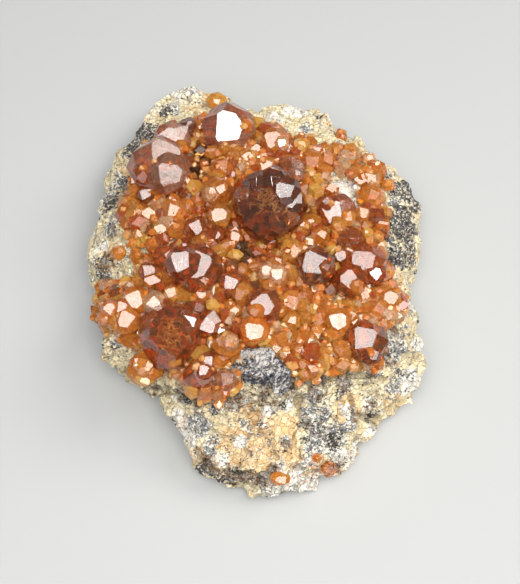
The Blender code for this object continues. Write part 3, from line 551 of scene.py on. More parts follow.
class Nodes:
    """Short calls for one material's nodes."""

    def __init__(self, name):
        self.material = bpy.data.materials.new(name)
        self.material.use_nodes = True
        self.tree = self.material.node_tree
        self.shader = self.tree.nodes["Principled BSDF"]
        position = self.add("ShaderNodeNewGeometry").outputs["Position"]
        self.place = self.vector("MULTIPLY", position, (1 / MM,) * 3)

    def add(self, kind, inputs=None, **settings):
        """A new node with these settings, and with these values or links at its inputs."""
        node = self.tree.nodes.new(kind)
        for key, value in settings.items():
            setattr(node, key, value)
        for key, value in (inputs or {}).items():
            self.put(node.inputs[key], value)
        return node

    def put(self, socket, value):
        if isinstance(value, bpy.types.NodeSocket):
            self.tree.links.new(value, socket)
        elif value is not None:
            socket.default_value = value

    def vector(self, operation, a, b):
        return self.add("ShaderNodeVectorMath", {0: a, 1: b}, operation=operation).outputs[0]

    def math(self, operation, a, b, clamp=False):
        inputs = {0: a, 1: b}
        return self.add("ShaderNodeMath", inputs, operation=operation, use_clamp=clamp).outputs[0]

    def plus(self, a, b):
        return self.math("ADD", a, b)

    def minus(self, a, b):
        return self.math("SUBTRACT", a, b)

    def times(self, a, b):
        return self.math("MULTIPLY", a, b)

    def attribute(self, name):
        return self.add("ShaderNodeAttribute", attribute_name=name).outputs["Fac"]

    def noise(self, scale, detail=3, roughness=0.5, place=None, distortion=0):
        inputs = {"Vector": place or self.place, "Scale": scale, "Detail": detail}
        inputs |= {"Roughness": roughness, "Distortion": distortion}
        return self.add("ShaderNodeTexNoise", inputs).outputs["Fac"]

    def cells(self, scale, place, feature="F1"):
        return self.add("ShaderNodeTexVoronoi", {"Vector": place, "Scale": scale}, feature=feature)

    def parts(self, colour):
        return self.add("ShaderNodeSeparateColor", {0: colour}).outputs

    def step(self, value, low, high):
        """0 under low, 1 over high, and smooth between."""
        inputs = {"Value": value, "From Min": low, "From Max": high}
        return self.add("ShaderNodeMapRange", inputs, interpolation_type="SMOOTHSTEP").outputs["Result"]

    def mix(self, share, a, b, blend="MIX"):
        a, b = ((*value, 1) if isinstance(value, tuple) else value for value in (a, b))
        inputs = {0: share, 6: a, 7: b}
        return self.add("ShaderNodeMix", inputs, data_type="RGBA", blend_type=blend).outputs[2]

    def bump(self, height, distance, strength):
        inputs = {"Strength": strength, "Distance": distance, "Height": height}
        return self.add("ShaderNodeBump", inputs).outputs["Normal"]

    def shade(self, **inputs):
        for key, value in inputs.items():
            socket = self.shader.inputs[key.replace("_", " ").title().replace("Ior", "IOR")]
            self.put(socket, (*value, 1) if isinstance(value, tuple) and len(value) == 3 else value)


def warped(nodes, scale, amount):
    """The place, moved a little by noise so that patches and grains get broken edges."""
    inputs = {"Vector": nodes.place, "Scale": scale, "Detail": 2.0}
    moved = nodes.add("ShaderNodeTexNoise", inputs).outputs["Color"]
    centred = nodes.vector("SUBTRACT", moved, (0.5, 0.5, 0.5))
    return nodes.vector("ADD", nodes.place, nodes.vector("MULTIPLY", centred, (amount,) * 3))


def rock_material():
    n = Nodes("rock_speckled")
    place = warped(n, 1.3, 0.9)
    close = warped(n, 1.6, 0.25)
    coarse, middle, fine = n.cells(0.42, place), n.cells(0.95, place), n.cells(2.0, close)
    c1, c2, c3 = (n.parts(cell.outputs["Color"]) for cell in (coarse, middle, fine))
    tiny = n.parts(n.cells(3.8, close).outputs["Color"])
    cloud = n.noise(0.16, 4, 0.6)
    mottle = n.noise(3.2, 4, 0.65)
    warm, white = n.attribute("warm"), n.attribute("white")
    dark, grey, recess_shade, bed = (n.attribute(name) for name in ("dark", "grey", "recess_shade", "bed"))

    # Feldspar: cream, peach and chalk grains, stained and rusty in places
    cream = n.mix(c2[0], *CREAM)
    peach = n.mix(c2[1], *PEACH)
    chalk = n.mix(c2[2], *CHALK)
    warmth = n.plus(n.times(warm, 0.8), n.times(c1[0], 0.5))
    feldspar = n.mix(n.step(warmth, 0.35, 0.75), cream, peach)
    whiteness = n.plus(white, n.times(c1[1], 0.6))
    feldspar = n.mix(n.step(whiteness, 0.45, 0.8), feldspar, chalk)
    feldspar = n.mix(n.step(mottle, 0.30, 0.6), n.mix(0.25, feldspar, STAIN), feldspar)
    rust = n.times(n.step(cloud, 0.52, 0.66), n.step(n.noise(1.1, 4, 0.6), 0.42, 0.62))
    feldspar = n.mix(n.times(rust, 0.75), feldspar, RUST)

    # Grey quartz and black grains, both speckled with salt
    smoke = n.mix(tiny[1], *SMOKE)
    blotches = n.times(n.minus(n.noise(0.9, 3, 0.6), 0.5), 1.6)
    salt = n.plus(tiny[2], blotches)
    smoke = n.mix(n.step(salt, 0.60, 0.72), smoke, SALT)
    quartz_share = n.plus(n.times(grey, 0.66), n.times(n.step(n.noise(0.30), 0.40, 0.62), 0.34))
    quartz_here = n.plus(n.times(c2[1], 0.35), n.times(c3[0], 0.65))
    is_quartz = n.step(n.minus(quartz_share, quartz_here), -0.06, 0.06)
    colour = n.mix(is_quartz, feldspar, smoke)
    black = n.mix(tiny[1], *BLACK)
    black = n.mix(n.step(salt, 0.64, 0.74), black, DIM_SALT)
    is_black = n.step(n.minus(n.plus(n.times(dark, 0.92), 0.012), c3[2]), -0.05, 0.05)
    colour = n.mix(is_black, colour, black)
    speck = n.step(n.minus(n.plus(n.times(dark, 0.20), 0.035), tiny[0]), -0.01, 0.02)
    colour = n.mix(n.times(speck, 0.85), colour, SPECK)

    # Brown soil in ragged patches, partly painted shade in undercuts; the crust under the druse, with
    # painted shade in its gaps; dirt in seams; and painted shade in pits and cracks
    ragged = n.times(n.minus(n.noise(1.1, 5, 0.75), 0.5), 3.4)
    soil_and_shade = n.step(n.plus(n.times(n.attribute("brown"), 0.80), ragged), 0.45, 0.95)
    soil_and_shade = n.times(soil_and_shade, n.step(n.attribute("brown"), 0.0, 0.3))
    earth_and_shade = n.mix(tiny[0], *EARTH_AND_SHADE)
    colour = n.mix(soil_and_shade, colour, n.mix(n.step(c3[1], 0.55, 0.7), earth_and_shade, CLAY))
    crust = n.mix(c2[2], *CRUST)
    crust = n.mix(n.attribute("gap"), crust, GAP_SHADE_COLOUR)
    colour = n.mix(n.times(bed, 0.95), colour, crust)
    seam = n.cells(0.95, place, "DISTANCE_TO_EDGE").outputs["Distance"]
    dirt_and_shade = n.times(n.minus(1.0, n.step(seam, 0.0, 0.09)), n.step(n.noise(0.45), 0.42, 0.66))
    dirt_and_shade = n.times(dirt_and_shade, 0.8)
    dirt_and_shade = n.math("MAXIMUM", dirt_and_shade, n.times(recess_shade, 0.9), clamp=True)
    dirt_and_shade = n.times(dirt_and_shade, n.minus(1.0, bed))
    colour = n.mix(dirt_and_shade, colour, n.mix(0.5, colour, DIRT_AND_SHADE, "MULTIPLY"))

    relief = n.plus(n.times(mottle, 0.5), n.times(n.step(seam, 0.0, 0.14), 0.6))
    relief = n.plus(relief, n.times(n.noise(9.0, 3, 0.6), 0.10))
    normal = n.bump(relief, 0.30 * MM, 1.0)
    rough = n.mix(is_quartz, (0.72,) * 3, (0.28,) * 3)
    n.shade(base_color=colour, roughness=n.parts(rough)[0], normal=normal, specular_ior_level=0.35)
    return n.material


def garnet_material(colour):
    taken, tint, clear = GARNET_COLOURS[colour]
    n = Nodes(f"garnet_{colour}")
    tone = n.math("ADD", n.attribute("tone"), 0.0, clamp=True)
    dull = tuple(channel * share for channel, share in zip(tint, DULL_SHARES))
    body = n.mix(tone, dull, tint)
    clouds = n.noise(1.1, 4, 0.62, distortion=0.6)
    cloudy = tuple(min(channel * CLOUD_GAIN, 1) for channel in tint)
    body = n.mix(n.step(clouds, 0.45, 0.68), body, cloudy)
    veins = n.noise(1.9, 5, 0.72, place=warped(n, 0.8, 1.2))
    streaked = tuple(channel * share for channel, share in zip(tint, STREAK_SHARES))
    body = n.mix(n.step(veins, 0.34, 0.50), streaked, body)
    growth = n.noise(0.9, 2, 0.4, place=warped(n, 0.35, 1.5))
    scratches = n.noise(6.0, 3, 0.7)
    relief = n.plus(growth, n.times(scratches, 0.06))
    normal = n.bump(relief, 0.06 * MM, 0.25)
    etched = n.plus(n.step(scratches, 0.45, 0.75), n.times(tone, 0.8))
    smoothness = n.plus(n.times(etched, 0.12), GARNET_ROUGHNESS)
    n.shade(base_color=body, roughness=smoothness, normal=normal)
    n.shade(transmission_weight=clear, ior=GARNET_IOR)
    most = max(taken) / MM
    absorb = n.add("ShaderNodeVolumeAbsorption")
    absorb.inputs["Color"].default_value = (*(1 - part / MM / most for part in taken), 1)
    absorb.inputs["Density"].default_value = most
    output = n.tree.nodes["Material Output"]
    n.tree.links.new(absorb.outputs[0], output.inputs["Volume"])
    return n.material


def crumb_material():
    """The tiny garnets between the others, half clear, from red over orange to gold."""
    n = Nodes("garnet_crumbs")
    tone = n.attribute("tone")
    red, orange, gold = CRUMB_COLOURS
    body = n.mix(n.step(tone, 0.0, 0.5), red, orange)
    body = n.mix(n.step(tone, 0.5, 1.0), body, gold)
    n.shade(base_color=body, roughness=0.10, transmission_weight=0.5, ior=GARNET_IOR)
    return n.material


def quartz_material():
    n = Nodes("smoky_quartz_layered")
    turned = n.add("ShaderNodeVectorRotate", rotation_type="AXIS_ANGLE")
    n.put(turned.inputs["Vector"], warped(n, 0.6, 1.1))
    turned.inputs["Axis"].default_value = (0.2, 0.9, 0.4)
    turned.inputs["Angle"].default_value = 0.7
    layers = n.vector("MULTIPLY", turned.outputs[0], (0.9, 1.3, 3.6))
    sheets = n.noise(0.62, 6, 0.70, place=layers)
    grains = n.parts(n.cells(2.0, layers).outputs["Color"])
    depth = n.noise(0.30, 3, 0.6)
    sheets = n.plus(sheets, n.times(n.minus(depth, 0.5), 0.9))
    colour = n.mix(n.step(sheets, 0.40, 0.62), QUARTZ_DARK, QUARTZ_GREY)
    silver = n.step(n.plus(sheets, n.times(grains[0], 0.34)), 0.62, 0.80)
    colour = n.mix(silver, colour, QUARTZ_SILVER)
    colour = n.mix(n.step(grains[1], 0.95, 0.98), colour, QUARTZ_RUST)
    normal = n.bump(n.plus(sheets, n.times(n.noise(5.0), 0.3)), 0.25 * MM, 0.9)
    n.shade(base_color=colour, roughness=0.30, normal=normal, specular_ior_level=0.7)
    return n.material


# Rock


def noise_values(points, size, offset=0.0):
    shift = Vector((offset, offset * 1.7, offset * 0.3))
    return np.array([noise.noise(Vector(point) / size + shift) for point in points])


def facet_heights(points, size):
    """Height, in sizes, of broken grains: each has a flat face of its own tilt and level."""
    heights = np.empty(len(points))
    for number, point in enumerate(points):
        place = Vector(point) / size
        centre = noise.voronoi(place)[1][0]
        tilt = noise.cell_vector(centre * 7.3) - Vector((0.5, 0.5, 0.5))
        level = noise.cell(centre * 5.1 + Vector((3.7, 1.9, 8.2))) - 0.5
        heights[number] = (place - centre).dot(tilt) + 0.6 * level
    return heights


def distance_to_line(points, line):
    nearest = np.full(len(points), np.inf)
    for a, b in zip(line, line[1:]):
        a, side = np.array(a), np.array(b - a)
        share = np.clip(((points - a) @ side) / (side @ side), 0, 1)
        nearest = np.minimum(nearest, np.linalg.norm(a + share[:, None] * side - points, axis=1))
    return nearest


def distance_from(points, centre):
    return np.linalg.norm(points - np.array(centre), axis=1)


def patch_fade(away, wobble):
    """1 inside a patch and 0 outside it, for distances in its radius, with an edge that wobbles."""
    return 1 - smooth_step((away + wobble * PATCH_WOBBLE - PATCH_START) / PATCH_FADE)


def patch_strength(points, wobble, patches):
    strength = np.zeros(len(points))
    for x, y, radius in patches:
        reach = radius / PIXELS_PER_MM * MM
        away = distance_from(points, seen_on_rock((x, y))) / reach
        strength = np.maximum(strength, patch_fade(away, wobble))
    return strength


def neighbour_mean(mesh, values, rounds):
    """Each vertex's value, evened out over its neighbours this many times."""
    edges = np.empty(len(mesh.edges) * 2, int)
    mesh.edges.foreach_get("vertices", edges)
    a, b = edges.reshape(-1, 2).T
    count = np.bincount(edges, minlength=len(values))
    for _ in range(rounds):
        total = np.bincount(a, values[b], len(values)) + np.bincount(b, values[a], len(values))
        values = 0.5 * values + 0.5 * total / count
    return values


def grain_relief(mesh, points):
    """How far the broken grains stand out of the rock."""
    stand = np.zeros(len(points))
    for size, height in GRAIN_LAYERS:
        layer = height * facet_heights(points, size)
        stand += neighbour_mean(mesh, layer, EVEN_ROUNDS) if size > EVEN_SIZE else layer
    stand += FINE_HEIGHT * noise_values(points, *FINE_NOISE)
    return STAND_LIMIT * np.tanh(stand / STAND_LIMIT)


def crack_depths(points, wobble):
    cracks = np.zeros(len(points))
    for places, deep, width in ROCK_CRACKS:
        line = [seen_on_rock(place) for place in places]
        away = distance_to_line(points, line) + wobble * CRACK_WANDER
        cracks = np.maximum(cracks, deep * (1 - smooth_step(away / width - CRACK_CORE)))
    return cracks


def colour_patches(mesh, points, normals, wobble):
    """Sets where each kind of grain lies, in the photograph's view as listed and by chance out of it."""
    chance = random.Random(ROCK_SEED)
    unseen = 1 - smooth_step((normals @ np.array(VIEW_BACK) - UNSEEN_TILT) / UNSEEN_FADE)
    for kind, (count, patches) in ROCK_PATCHES.items():
        strength = patch_strength(points, wobble, patches)
        for _ in range(count):
            away = distance_from(points, points[chance.randrange(len(points))])
            near = patch_fade(away / chance.uniform(*HIDDEN_REACH), wobble) * unseen
            strength = np.maximum(strength, near)
        set_attribute(mesh, kind, strength)


def build_rock():
    rock = new_object("matrix_fine", rock_mesh.copy())
    applied(rock, "REMESH", mode="VOXEL", voxel_size=ROCK_CELL)
    mesh = rock.data
    points, normals = points_and_normals(mesh)
    evened = np.stack([neighbour_mean(mesh, axis, EVEN_ROUNDS) for axis in points.T], axis=1)
    above_foot = smooth_step((points[:, 2] - FOOT) / FOOT_FADE)
    points += (evened - points) * above_foot[:, None]
    facing_up = smooth_step((normals[:, 2] - UP_TILT) / UP_FADE)
    bed = smooth_step((druse_depth(points[:, 0], points[:, 1]) + BED_EDGE) / BED_FADE) * facing_up
    wobble = noise_values(points, *WOBBLE_NOISE)
    cracks = crack_depths(points, wobble)
    stand = grain_relief(mesh, points) * (1 - BED_CALM * bed) - cracks * (1 - bed)
    stand *= above_foot
    points += normals * stand[:, None]
    for x, y, radius, height in ROCK_SWELLS:
        away = distance_from(points, seen_on_rock((x, y))) * PIXELS_PER_MM / (radius * MM)
        points[:, 2] += height * (1 - smooth_step(away)) * above_foot
    points[:, 2] = np.maximum(points[:, 2], 0)
    for axis in range(3):
        points[:, axis] = np.clip(points[:, axis], cad_box[0][axis], cad_box[1][axis])
    hollow = neighbour_mean(mesh, stand, PIT_ROUNDS) - stand
    set_points(mesh, points)

    colour_patches(mesh, points, normals, wobble)
    # Painted shade in hollows and cracks
    shaded_cracks = smooth_step(cracks / CRACK_SHADE) * CRACK_SHADE_SHARE
    set_attribute(mesh, "recess_shade", smooth_step(hollow / PIT_DEPTH) + shaded_cracks)
    set_attribute(mesh, "bed", bed)
    # Painted shadow in noise patches and painted shade in the gaps, for the crust under the garnets
    shadows = noise_values(points, *SHADOW_NOISE) + SHADOW_SHIFT
    shadowed = SHADOW_STRENGTH * smooth_step(shadows / SHADOW_FADE)
    gap = patch_strength(points, wobble, PAINTED_SHADE_GAPS)
    set_attribute(mesh, "gap", np.maximum(GAP_SHADE_STRENGTH * gap, shadowed).clip(0, DARKEST_BED_SHADE))
    mesh.polygons.foreach_set("use_smooth", np.zeros(len(mesh.polygons), bool))
    give_material(mesh, rock_material())
    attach(rock, "root")
    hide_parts("matrix")


# Garnets


def form_faces(numbers):
    """Every different normal that the cubic symmetry makes from these indices."""
    a, b, c = numbers
    orders = {(a, b, c), (a, c, b), (b, a, c), (b, c, a), (c, a, b), (c, b, a)}
    signs = [(x, y, z) for x in (1, -1) for y in (1, -1) for z in (1, -1)]
    found = {tuple(n * s for n, s in zip(order, sign)) for order in orders for sign in signs}
    return [Vector(normal).normalized() for normal in sorted(found)]


TRAPEZOHEDRON = form_faces((2, 1, 1))
DODECAHEDRON = form_faces((1, 1, 0))
HEXOCTAHEDRON = form_faces((3, 2, 1))
# How far the faces of the first two lie from the centre, in half widths
LARGE_HABITS = [(0.90, 1.06), (0.92, 0.98)]
MIDDLE_HABIT = (0.90, 1.02)
LESSER_HABIT = (0.90, 1.06)
SMALL_HABITS = [(None, 0.90), (0.92, None), (None, 0.92), (0.96, 0.90)]
SMALL_FORMS = 12
SMALL_SEED = 900
SMALL_JITTER = 0.10
SMALL_STRETCH = 0.15
HEXOCTAHEDRON_PLACE = 0.962
BROAD_FACE = 0.90
LARGE_WIDTH = 8 * MM
MIDDLE_WIDTH = 5.4 * MM
BEVELLED_WIDTH = 3 * MM
FACE_JITTER = 0.07
GARNET_STRETCH = 0.12
EDGE_BEVEL = 0.018
FACE_TONE = 0.28
# Two crystals are kept in different layers when their centres are nearer than this share of their widths
LAYER_SHARE = 0.62


def habit_for(width, number):
    if width > LARGE_WIDTH:
        return LARGE_HABITS[number % 2]
    return MIDDLE_HABIT if width > MIDDLE_WIDTH else LESSER_HABIT


def cut_by_plane(bm, normal, distance):
    """Cuts off what lies past the plane and closes the cut with one face."""
    everything = [*bm.verts, *bm.edges, *bm.faces]
    cut = bmesh.ops.bisect_plane(
        bm, geom=everything, dist=1e-4, plane_co=normal * distance, plane_no=normal, clear_outer=True
    )
    edges = [item for item in cut["geom_cut"] if isinstance(item, bmesh.types.BMEdge)]
    if len(edges) > 2:
        bmesh.ops.contextual_create(bm, geom=edges)


def cut_crystal(habit, jitter, chance, fine=False, broad=False):
    """A garnet of half width 1, cut from a cube by its face planes, each off its place by some jitter."""
    trapezohedron, dodecahedron = habit
    planes = [(normal, trapezohedron) for normal in TRAPEZOHEDRON if trapezohedron]
    planes += [(normal, dodecahedron) for normal in DODECAHEDRON if dodecahedron]
    if fine:
        planes += [(normal, HEXOCTAHEDRON_PLACE) for normal in HEXOCTAHEDRON]
    bm = bmesh.new()
    bmesh.ops.create_cube(bm, size=3.0)
    for normal, distance in planes:
        cut_by_plane(bm, normal, distance * (1 + chance.uniform(-jitter, jitter)))
    if broad:
        cut_by_plane(bm, TRAPEZOHEDRON[0], habit[0] * BROAD_FACE)
    return bm


def any_turn(chance):
    """The rotation of a crystal that lies any way."""
    axis = Vector([chance.gauss(0, 1) for _ in range(3)]).normalized()
    return Matrix.Rotation(chance.uniform(0, math.tau), 4, axis)


def bright_turn(facing, centre):
    """The rotation that turns a crystal's first face to the mirror of the light, or somewhat off it."""
    right, up, angle = facing
    mirror = (EYE - centre).normalized() + (GLINT_PLACE - centre).normalized()
    normal = mirror.normalized() + (VIEW_RIGHT * right + VIEW_UP * up) * FACING_SHARE
    normal.normalize()
    lay = TRAPEZOHEDRON[0].rotation_difference(normal).to_matrix().to_4x4()
    return Matrix.Rotation(math.radians(angle), 4, normal) @ lay


def bm_arrays(bm):
    bm.verts.index_update()
    faces = [[vertex.index for vertex in face.verts] for face in bm.faces]
    return np.array([vertex.co for vertex in bm.verts]), faces


def crystal(number, centre, width, facing=None, stretch=(1, 1, 1)):
    """One garnet as points and faces, the same each time for the same number."""
    chance = random.Random(number)
    habit = habit_for(width, number)
    bm = cut_crystal(habit, FACE_JITTER, chance, width > LARGE_WIDTH, facing is not None)
    turn = bright_turn(facing, centre) if facing else any_turn(chance)
    loose = GARNET_STRETCH if facing is None else 0.0
    sides = [width / 2 * side * (1 + chance.uniform(-loose, loose)) for side in stretch]
    if width > BEVELLED_WIDTH:
        bmesh.ops.bevel(bm, geom=list(bm.edges), offset=EDGE_BEVEL, affect="EDGES", clamp_overlap=True)
    bmesh.ops.recalc_face_normals(bm, faces=bm.faces)
    bm.transform(Matrix.Translation(centre) @ Matrix.Diagonal((*sides, 1)) @ turn)
    arrays = bm_arrays(bm)
    bm.free()
    return arrays


@lru_cache(maxsize=None)
def small_form(kind):
    """One of the unit forms that the small garnets share."""
    chance = random.Random(SMALL_SEED + kind)
    bm = cut_crystal(SMALL_HABITS[kind % len(SMALL_HABITS)], SMALL_JITTER, chance)
    bmesh.ops.recalc_face_normals(bm, faces=bm.faces)
    arrays = bm_arrays(bm)
    bm.free()
    return arrays


def small_crystal(number, centre, width, chance):
    points, faces = small_form(number % SMALL_FORMS)
    turn = np.array(any_turn(chance).to_3x3())
    sides = width / 2 * np.array([1 + chance.uniform(-SMALL_STRETCH, SMALL_STRETCH) for _ in range(3)])
    return (points @ turn.T) * sides + np.array(centre), faces


def joined_mesh(name, pieces, tones):
    """One mesh of separate pieces, each face with its piece's tone."""
    points, faces, face_tones = [], [], []
    chance = random.Random(len(pieces))
    start = 0
    for (piece_points, piece_faces), tone in zip(pieces, tones):
        points.append(piece_points)
        faces += [[index + start for index in face] for face in piece_faces]
        face_tones += [tone + chance.uniform(-FACE_TONE, FACE_TONE) for _ in piece_faces]
        start += len(piece_points)
    mesh = bpy.data.meshes.new(name)
    mesh.from_pydata(np.concatenate(points).tolist(), [], faces)
    set_attribute(mesh, "tone", np.array(face_tones), "FACE")
    return mesh


def in_layers(places):
    """Sorts crystals into layers in which none touches another."""
    layers = []
    for number, (centre, width) in enumerate(places):
        for layer in layers:
            others = [places[other] for other in layer]
            if all((centre - other).length > LAYER_SHARE * (width + size) for other, size in others):
                layer.append(number)
                break
        else:
            layers.append([number])
    return layers


def fused(name, places, pieces, tones, material):
    """The crystals as one body, joined layer by layer."""
    body = None
    for layer in in_layers(places):
        mesh = joined_mesh(name, [pieces[n] for n in layer], [tones[n] for n in layer])
        if body is None:
            body = new_object(name, mesh)
            continue
        tool = new_object("layer", mesh)
        applied(body, "BOOLEAN", operation="UNION", solver="MANIFOLD", object=tool)
        bpy.data.objects.remove(tool)
    give_material(body.data, material)
    return body


def scattered(chance, tries, widths, spacing, leading, reach):
    """(centre, width) of seeded places over the druse's ground, fewer towards the reach past its edge."""
    xs, ys = [point.x for point in DRUSE_GROUND], [point.y for point in DRUSE_GROUND]
    spots = np.array([
        [chance.uniform(min(side) - reach, max(side) + reach) for side in (xs, ys)] for _ in range(tries)
    ])
    depths = druse_depth(spots[:, 0], spots[:, 1])
    centres = np.array([centre for centre, _ in leading])
    sizes = np.array([width for _, width in leading])
    gaps = [(on_rock((x, y)), GAP_SHARE * radius / PIXELS_PER_MM * MM) for x, y, radius in PAINTED_SHADE_GAPS]
    placed, grid = [], {}
    for (x, y), depth in zip(spots, depths):
        width = chance.uniform(*widths)
        if depth < -reach or (depth < 0 and chance.random() < -depth / reach):
            continue
        column, row = int(x // spacing), int(y // spacing)
        cells = [(column + dx, row + dy) for dx in (-1, 0, 1) for dy in (-1, 0, 1)]
        near = [spot for cell in cells for spot in grid.get(cell, [])]
        if any(math.hypot(x - a, y - b) < spacing for a, b in near):
            continue
        top = rock_top(x, y)
        if top <= 0 or any(math.hypot(x - gap.x, y - gap.y) < size for gap, size in gaps):
            continue
        centre = Vector((x, y, top + chance.uniform(*SEEDED_LIFT) * width / 2))
        if np.any(distance_from(centres, centre) < HIDDEN_INSIDE * sizes):
            continue
        placed.append((centre, width))
        grid.setdefault((column, row), []).append((x, y))
    return placed


def edge_share(centre):
    """0 at the druse's heart, 1 far from it."""
    return min((centre - on_rock(DRUSE_HEART)).length / HEART_REACH, 1) ** 2


def place_garnets(keep):
    """Makes the garnets that the photograph shows one by one. Gives the centre and width of each."""
    chance = random.Random(TONE_SEED)
    placed = []
    for number, (x, y, size, lift, colour, *facing) in enumerate(LEADING_GARNETS):
        width = size * MM
        centre = on_rock((x, y), lift * width / 2)
        placed.append((centre, width))
        piece = crystal(number, centre, width, *facing)
        keep(colour, centre, width, piece, chance.uniform(*LARGE_TONES))
    first = len(LEADING_GARNETS)
    for number, (host, right, up, size, colour, *facing) in enumerate(FLANK_GARNETS, first):
        place, reach = placed[host]
        width = size * MM
        back = math.sqrt(1 - right * right - up * up)
        centre = place + in_view(right, up, back) * (FLANK_DEPTH * reach / 2)
        placed.append((centre, width))
        piece = crystal(number, centre, width, *facing)
        keep(colour, centre, width, piece, chance.uniform(*LARGE_TONES))
    for number, (x, y, pixels, colour) in enumerate(MIDDLE_GARNETS):
        width = pixels / PIXELS_PER_MM * MM * MIDDLE_SCALE
        centre = on_rock((x, y), MIDDLE_LIFT * width / 2)
        placed.append((centre, width))
        piece = small_crystal(number, centre, width, random.Random(MIDDLE_SEED + number))
        keep(colour, centre, width, piece, chance.uniform(*MIDDLE_TONES))
    return placed


def seed_garnets(keep, placed, chance):
    """Fills the ground between the placed garnets, redder at the druse's heart."""
    fillers = scattered(chance, FILLER_TRIES, FILLER_WIDTH, FILLER_SPACING, placed, FILLER_REACH)
    for number, (centre, width) in enumerate(fillers):
        out = edge_share(centre)
        shares = [heart + out * (edge - heart) for heart, edge in zip(HEART_SHARES, EDGE_SHARES)]
        colour = chance.choices(FILLER_COLOURS, shares)[0]
        keep(colour, centre, width, small_crystal(number, centre, width, chance), chance.uniform(0, 1))
    return fillers


def build_crumbs(placed, fillers, chance):
    crumbs = scattered(chance, CRUMB_TRIES, CRUMB_WIDTH, CRUMB_SPACING, placed + fillers, CRUMB_REACH)
    hosts = placed[len(LEADING_GARNETS) // 2:] + fillers
    for _ in range(SATELLITES):
        centre, width = chance.choice(hosts)
        if centre.z > SATELLITE_TOP:
            continue
        out = Vector((chance.gauss(0, 1), chance.gauss(0, 1), abs(chance.gauss(0, 1)) + SATELLITE_RISE))
        deep = out.normalized() * (SATELLITE_DEPTH * width / 2)
        crumbs.append((centre + deep, chance.uniform(*SATELLITE_WIDTH)))
    pieces = [small_crystal(number, *crumb, chance) for number, crumb in enumerate(crumbs)]
    by_chance, by_place, less = CRUMB_TONE
    tones = [by_chance * chance.random() + by_place * edge_share(centre) - less for centre, _ in crumbs]
    body = new_object("garnet_crumbs", joined_mesh("garnet_crumbs", pieces, tones), crumb_material())
    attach(body, "root")
    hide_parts("garnet_druse")


def build_garnets():
    groups = {colour: ([], [], []) for colour in GARNET_COLOURS}

    def keep(colour, centre, width, piece, tone):
        places, pieces, tones = groups[colour]
        places.append((centre, width))
        pieces.append(piece)
        tones.append(tone)

    chance = random.Random(DRUSE_SEED)
    placed = place_garnets(keep)
    fillers = seed_garnets(keep, placed, chance)
    for colour, (places, pieces, tones) in groups.items():
        body = fused(f"garnets_{colour}", places, pieces, tones, garnet_material(colour))
        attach(body, "root")
        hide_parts("garnet_druse")
    build_crumbs(placed, fillers, chance)

    for number, (name, place, size, lift, stretch, colour) in enumerate(LONE_GARNETS, LONE_GARNET_SEED):
        centre = on_rock(place, lift * size * MM / 2)
        piece = crystal(number, centre, size * MM, stretch=stretch)
        mesh = joined_mesh(name, [piece], [LONE_GARNET_TONE])
        lone = new_object(f"{name}_fine", mesh, bpy.data.materials[f"garnet_{colour}"])
        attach(lone, "root")
        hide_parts(name)


def thread(chance, start, half):
    """The points of one crooked thread that stays well inside a garnet of this half width."""
    spot = start
    way = Vector([chance.gauss(0, 1) for _ in range(3)]).normalized()
    path = []
    while len(path) < THREAD_STEPS and spot.length < THREAD_REACH * half:
        path.append(spot)
        bend = Vector([chance.gauss(0, THREAD_BEND) for _ in range(3)])
        way = (way + bend - spot / half * THREAD_PULL).normalized()
        spot = spot + way * THREAD_STEP
    return path


def add_thread(points, faces, path, middle, thick):
    """Adds a three-sided tube round the path, thickest in its middle and closed at both ends."""
    first = len(points)
    for step, spot in enumerate(path):
        along = path[min(step + 1, len(path) - 1)] - path[max(step - 1, 0)]
        side = along.orthogonal().normalized()
        over = along.cross(side).normalized()
        taper = thick * math.sin(math.pi * (step + 0.5) / len(path))
        for angle in (0, math.tau / 3, 2 * math.tau / 3):
            points.append(middle + spot + (side * math.cos(angle) + over * math.sin(angle)) * taper)
    last = first + 3 * len(path) - 3
    for ring in range(first, last, 3):
        for corner in range(3):
            after = (corner + 1) % 3
            faces.append((ring + corner, ring + after, ring + 3 + after, ring + 3 + corner))
    faces += [(first + 2, first + 1, first), (last, last + 1, last + 2)]


def build_threads():
    """Golden threads of healed cracks inside the largest garnets, part of the druse."""
    chance = random.Random(THREAD_SEED)
    points, faces = [], []
    for number, count in THREADED_GARNETS:
        x, y, size, lift = LEADING_GARNETS[number][:4]
        half = size * MM / 2
        middle = on_rock((x, y), lift * half)
        for _ in range(count):
            spread = Vector([chance.gauss(0, THREAD_SPREAD) for _ in range(3)])
            start = (in_view(*THREAD_START) + spread) * half
            thick = chance.uniform(*THREAD_RADIUS)
            path = thread(chance, start, half)
            if len(path) >= LEAST_STEPS:
                add_thread(points, faces, path, middle, thick)
    mesh = bpy.data.meshes.new("garnet_threads")
    mesh.from_pydata(points, [], faces)
    n = Nodes("thread_gold")
    n.shade(base_color=n.mix(n.step(n.noise(1.2), 0.35, 0.60), *THREAD_COLOURS), roughness=0.5)
    threads = new_object("garnet_threads", mesh, n.material)
    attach(threads, "root")
    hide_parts("garnet_druse")


def build_quartz():
    block = new_object("smoky_quartz_fine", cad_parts["smoky_quartz"].data.copy())
    applied(block, "REMESH", mode="VOXEL", voxel_size=QUARTZ_CELL)
    mesh = block.data
    points, normals = points_and_normals(mesh)
    stand = sum(height * facet_heights(points * stretch, size) for size, height, stretch in QUARTZ_RIBS)
    set_points(mesh, points + normals * stand[:, None])
    give_material(mesh, quartz_material())
    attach(block, "root")
    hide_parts("smoky_quartz")


# Studio


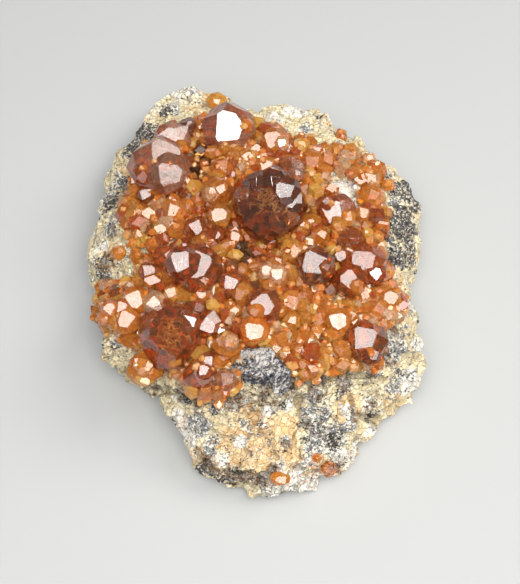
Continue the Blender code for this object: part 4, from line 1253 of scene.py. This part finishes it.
def build_floor():
    bm = bmesh.new()
    bmesh.ops.create_grid(bm, x_segments=1, y_segments=1, size=FLOOR_HALF)
    mesh = bpy.data.meshes.new("floor")
    bm.to_mesh(mesh)
    bm.free()
    n = Nodes("floor_pale")
    n.shade(base_color=FLOOR_COLOUR, roughness=0.7)
    new_object("floor", mesh, n.material)


def area_light(name, direction, distance, size, radiance, colour):
    """A flat light that faces the specimen, as bright as this radiance over its surface."""
    light = bpy.data.lights.new(name, "AREA")
    light.shape = "RECTANGLE"
    light.size, light.size_y = size
    light.energy = radiance * size[0] * size[1] * math.pi
    light.color = colour
    lamp = new_object(name, light)
    direction = direction.normalized()
    lamp.location = AIM_POINT + direction * distance
    lamp.rotation_mode = "QUATERNION"
    lamp.rotation_quaternion = direction.to_track_quat("Z", "Y")


def build_studio():
    camera = bpy.data.cameras.new("camera")
    camera.sensor_width = SENSOR
    camera.lens = FOCAL_PIXELS / PICTURE_HEIGHT * SENSOR
    camera.clip_start = NEAREST_SEEN
    eye = new_object("camera", camera)
    eye.location = EYE
    eye.rotation_euler = (math.pi / 2 - VIEW_ELEVATION, 0, 0)
    bpy.context.scene.camera = eye
    area_light("ceiling", in_view(0.0, 0.10, 1), 0.52, (0.80, 0.64), 1.75, (1.0, 0.97, 0.96))
    area_light("panel", in_view(0.03, 0.12, 1), 0.50, (0.34, 0.28), 5.2, (1.0, 0.98, 0.96))
    area_light("glint", GLINT_PLACE - AIM_POINT, 0.45, (0.06, 0.06), 20.0, (1.0, 0.99, 0.98))
    area_light("key", in_view(0.85, 0.65, 0.75), 0.60, (0.34, 0.34), 6.0, (1.0, 0.96, 0.90))
    world = bpy.data.worlds.new("studio")
    world.use_nodes = True
    world.node_tree.nodes["Background"].inputs["Color"].default_value = WORLD_COLOUR
    world.node_tree.nodes["Background"].inputs["Strength"].default_value = WORLD_STRENGTH
    bpy.context.scene.world = world
    cycles = bpy.context.scene.cycles
    cycles.max_bounces = CLEAR_BOUNCES
    cycles.transmission_bounces = CLEAR_BOUNCES
    cycles.glossy_bounces = GLOSSY_BOUNCES
    bpy.context.scene.view_settings.view_transform = "Standard"


build_rock()
build_garnets()
build_threads()
build_quartz()
build_floor()
build_studio()
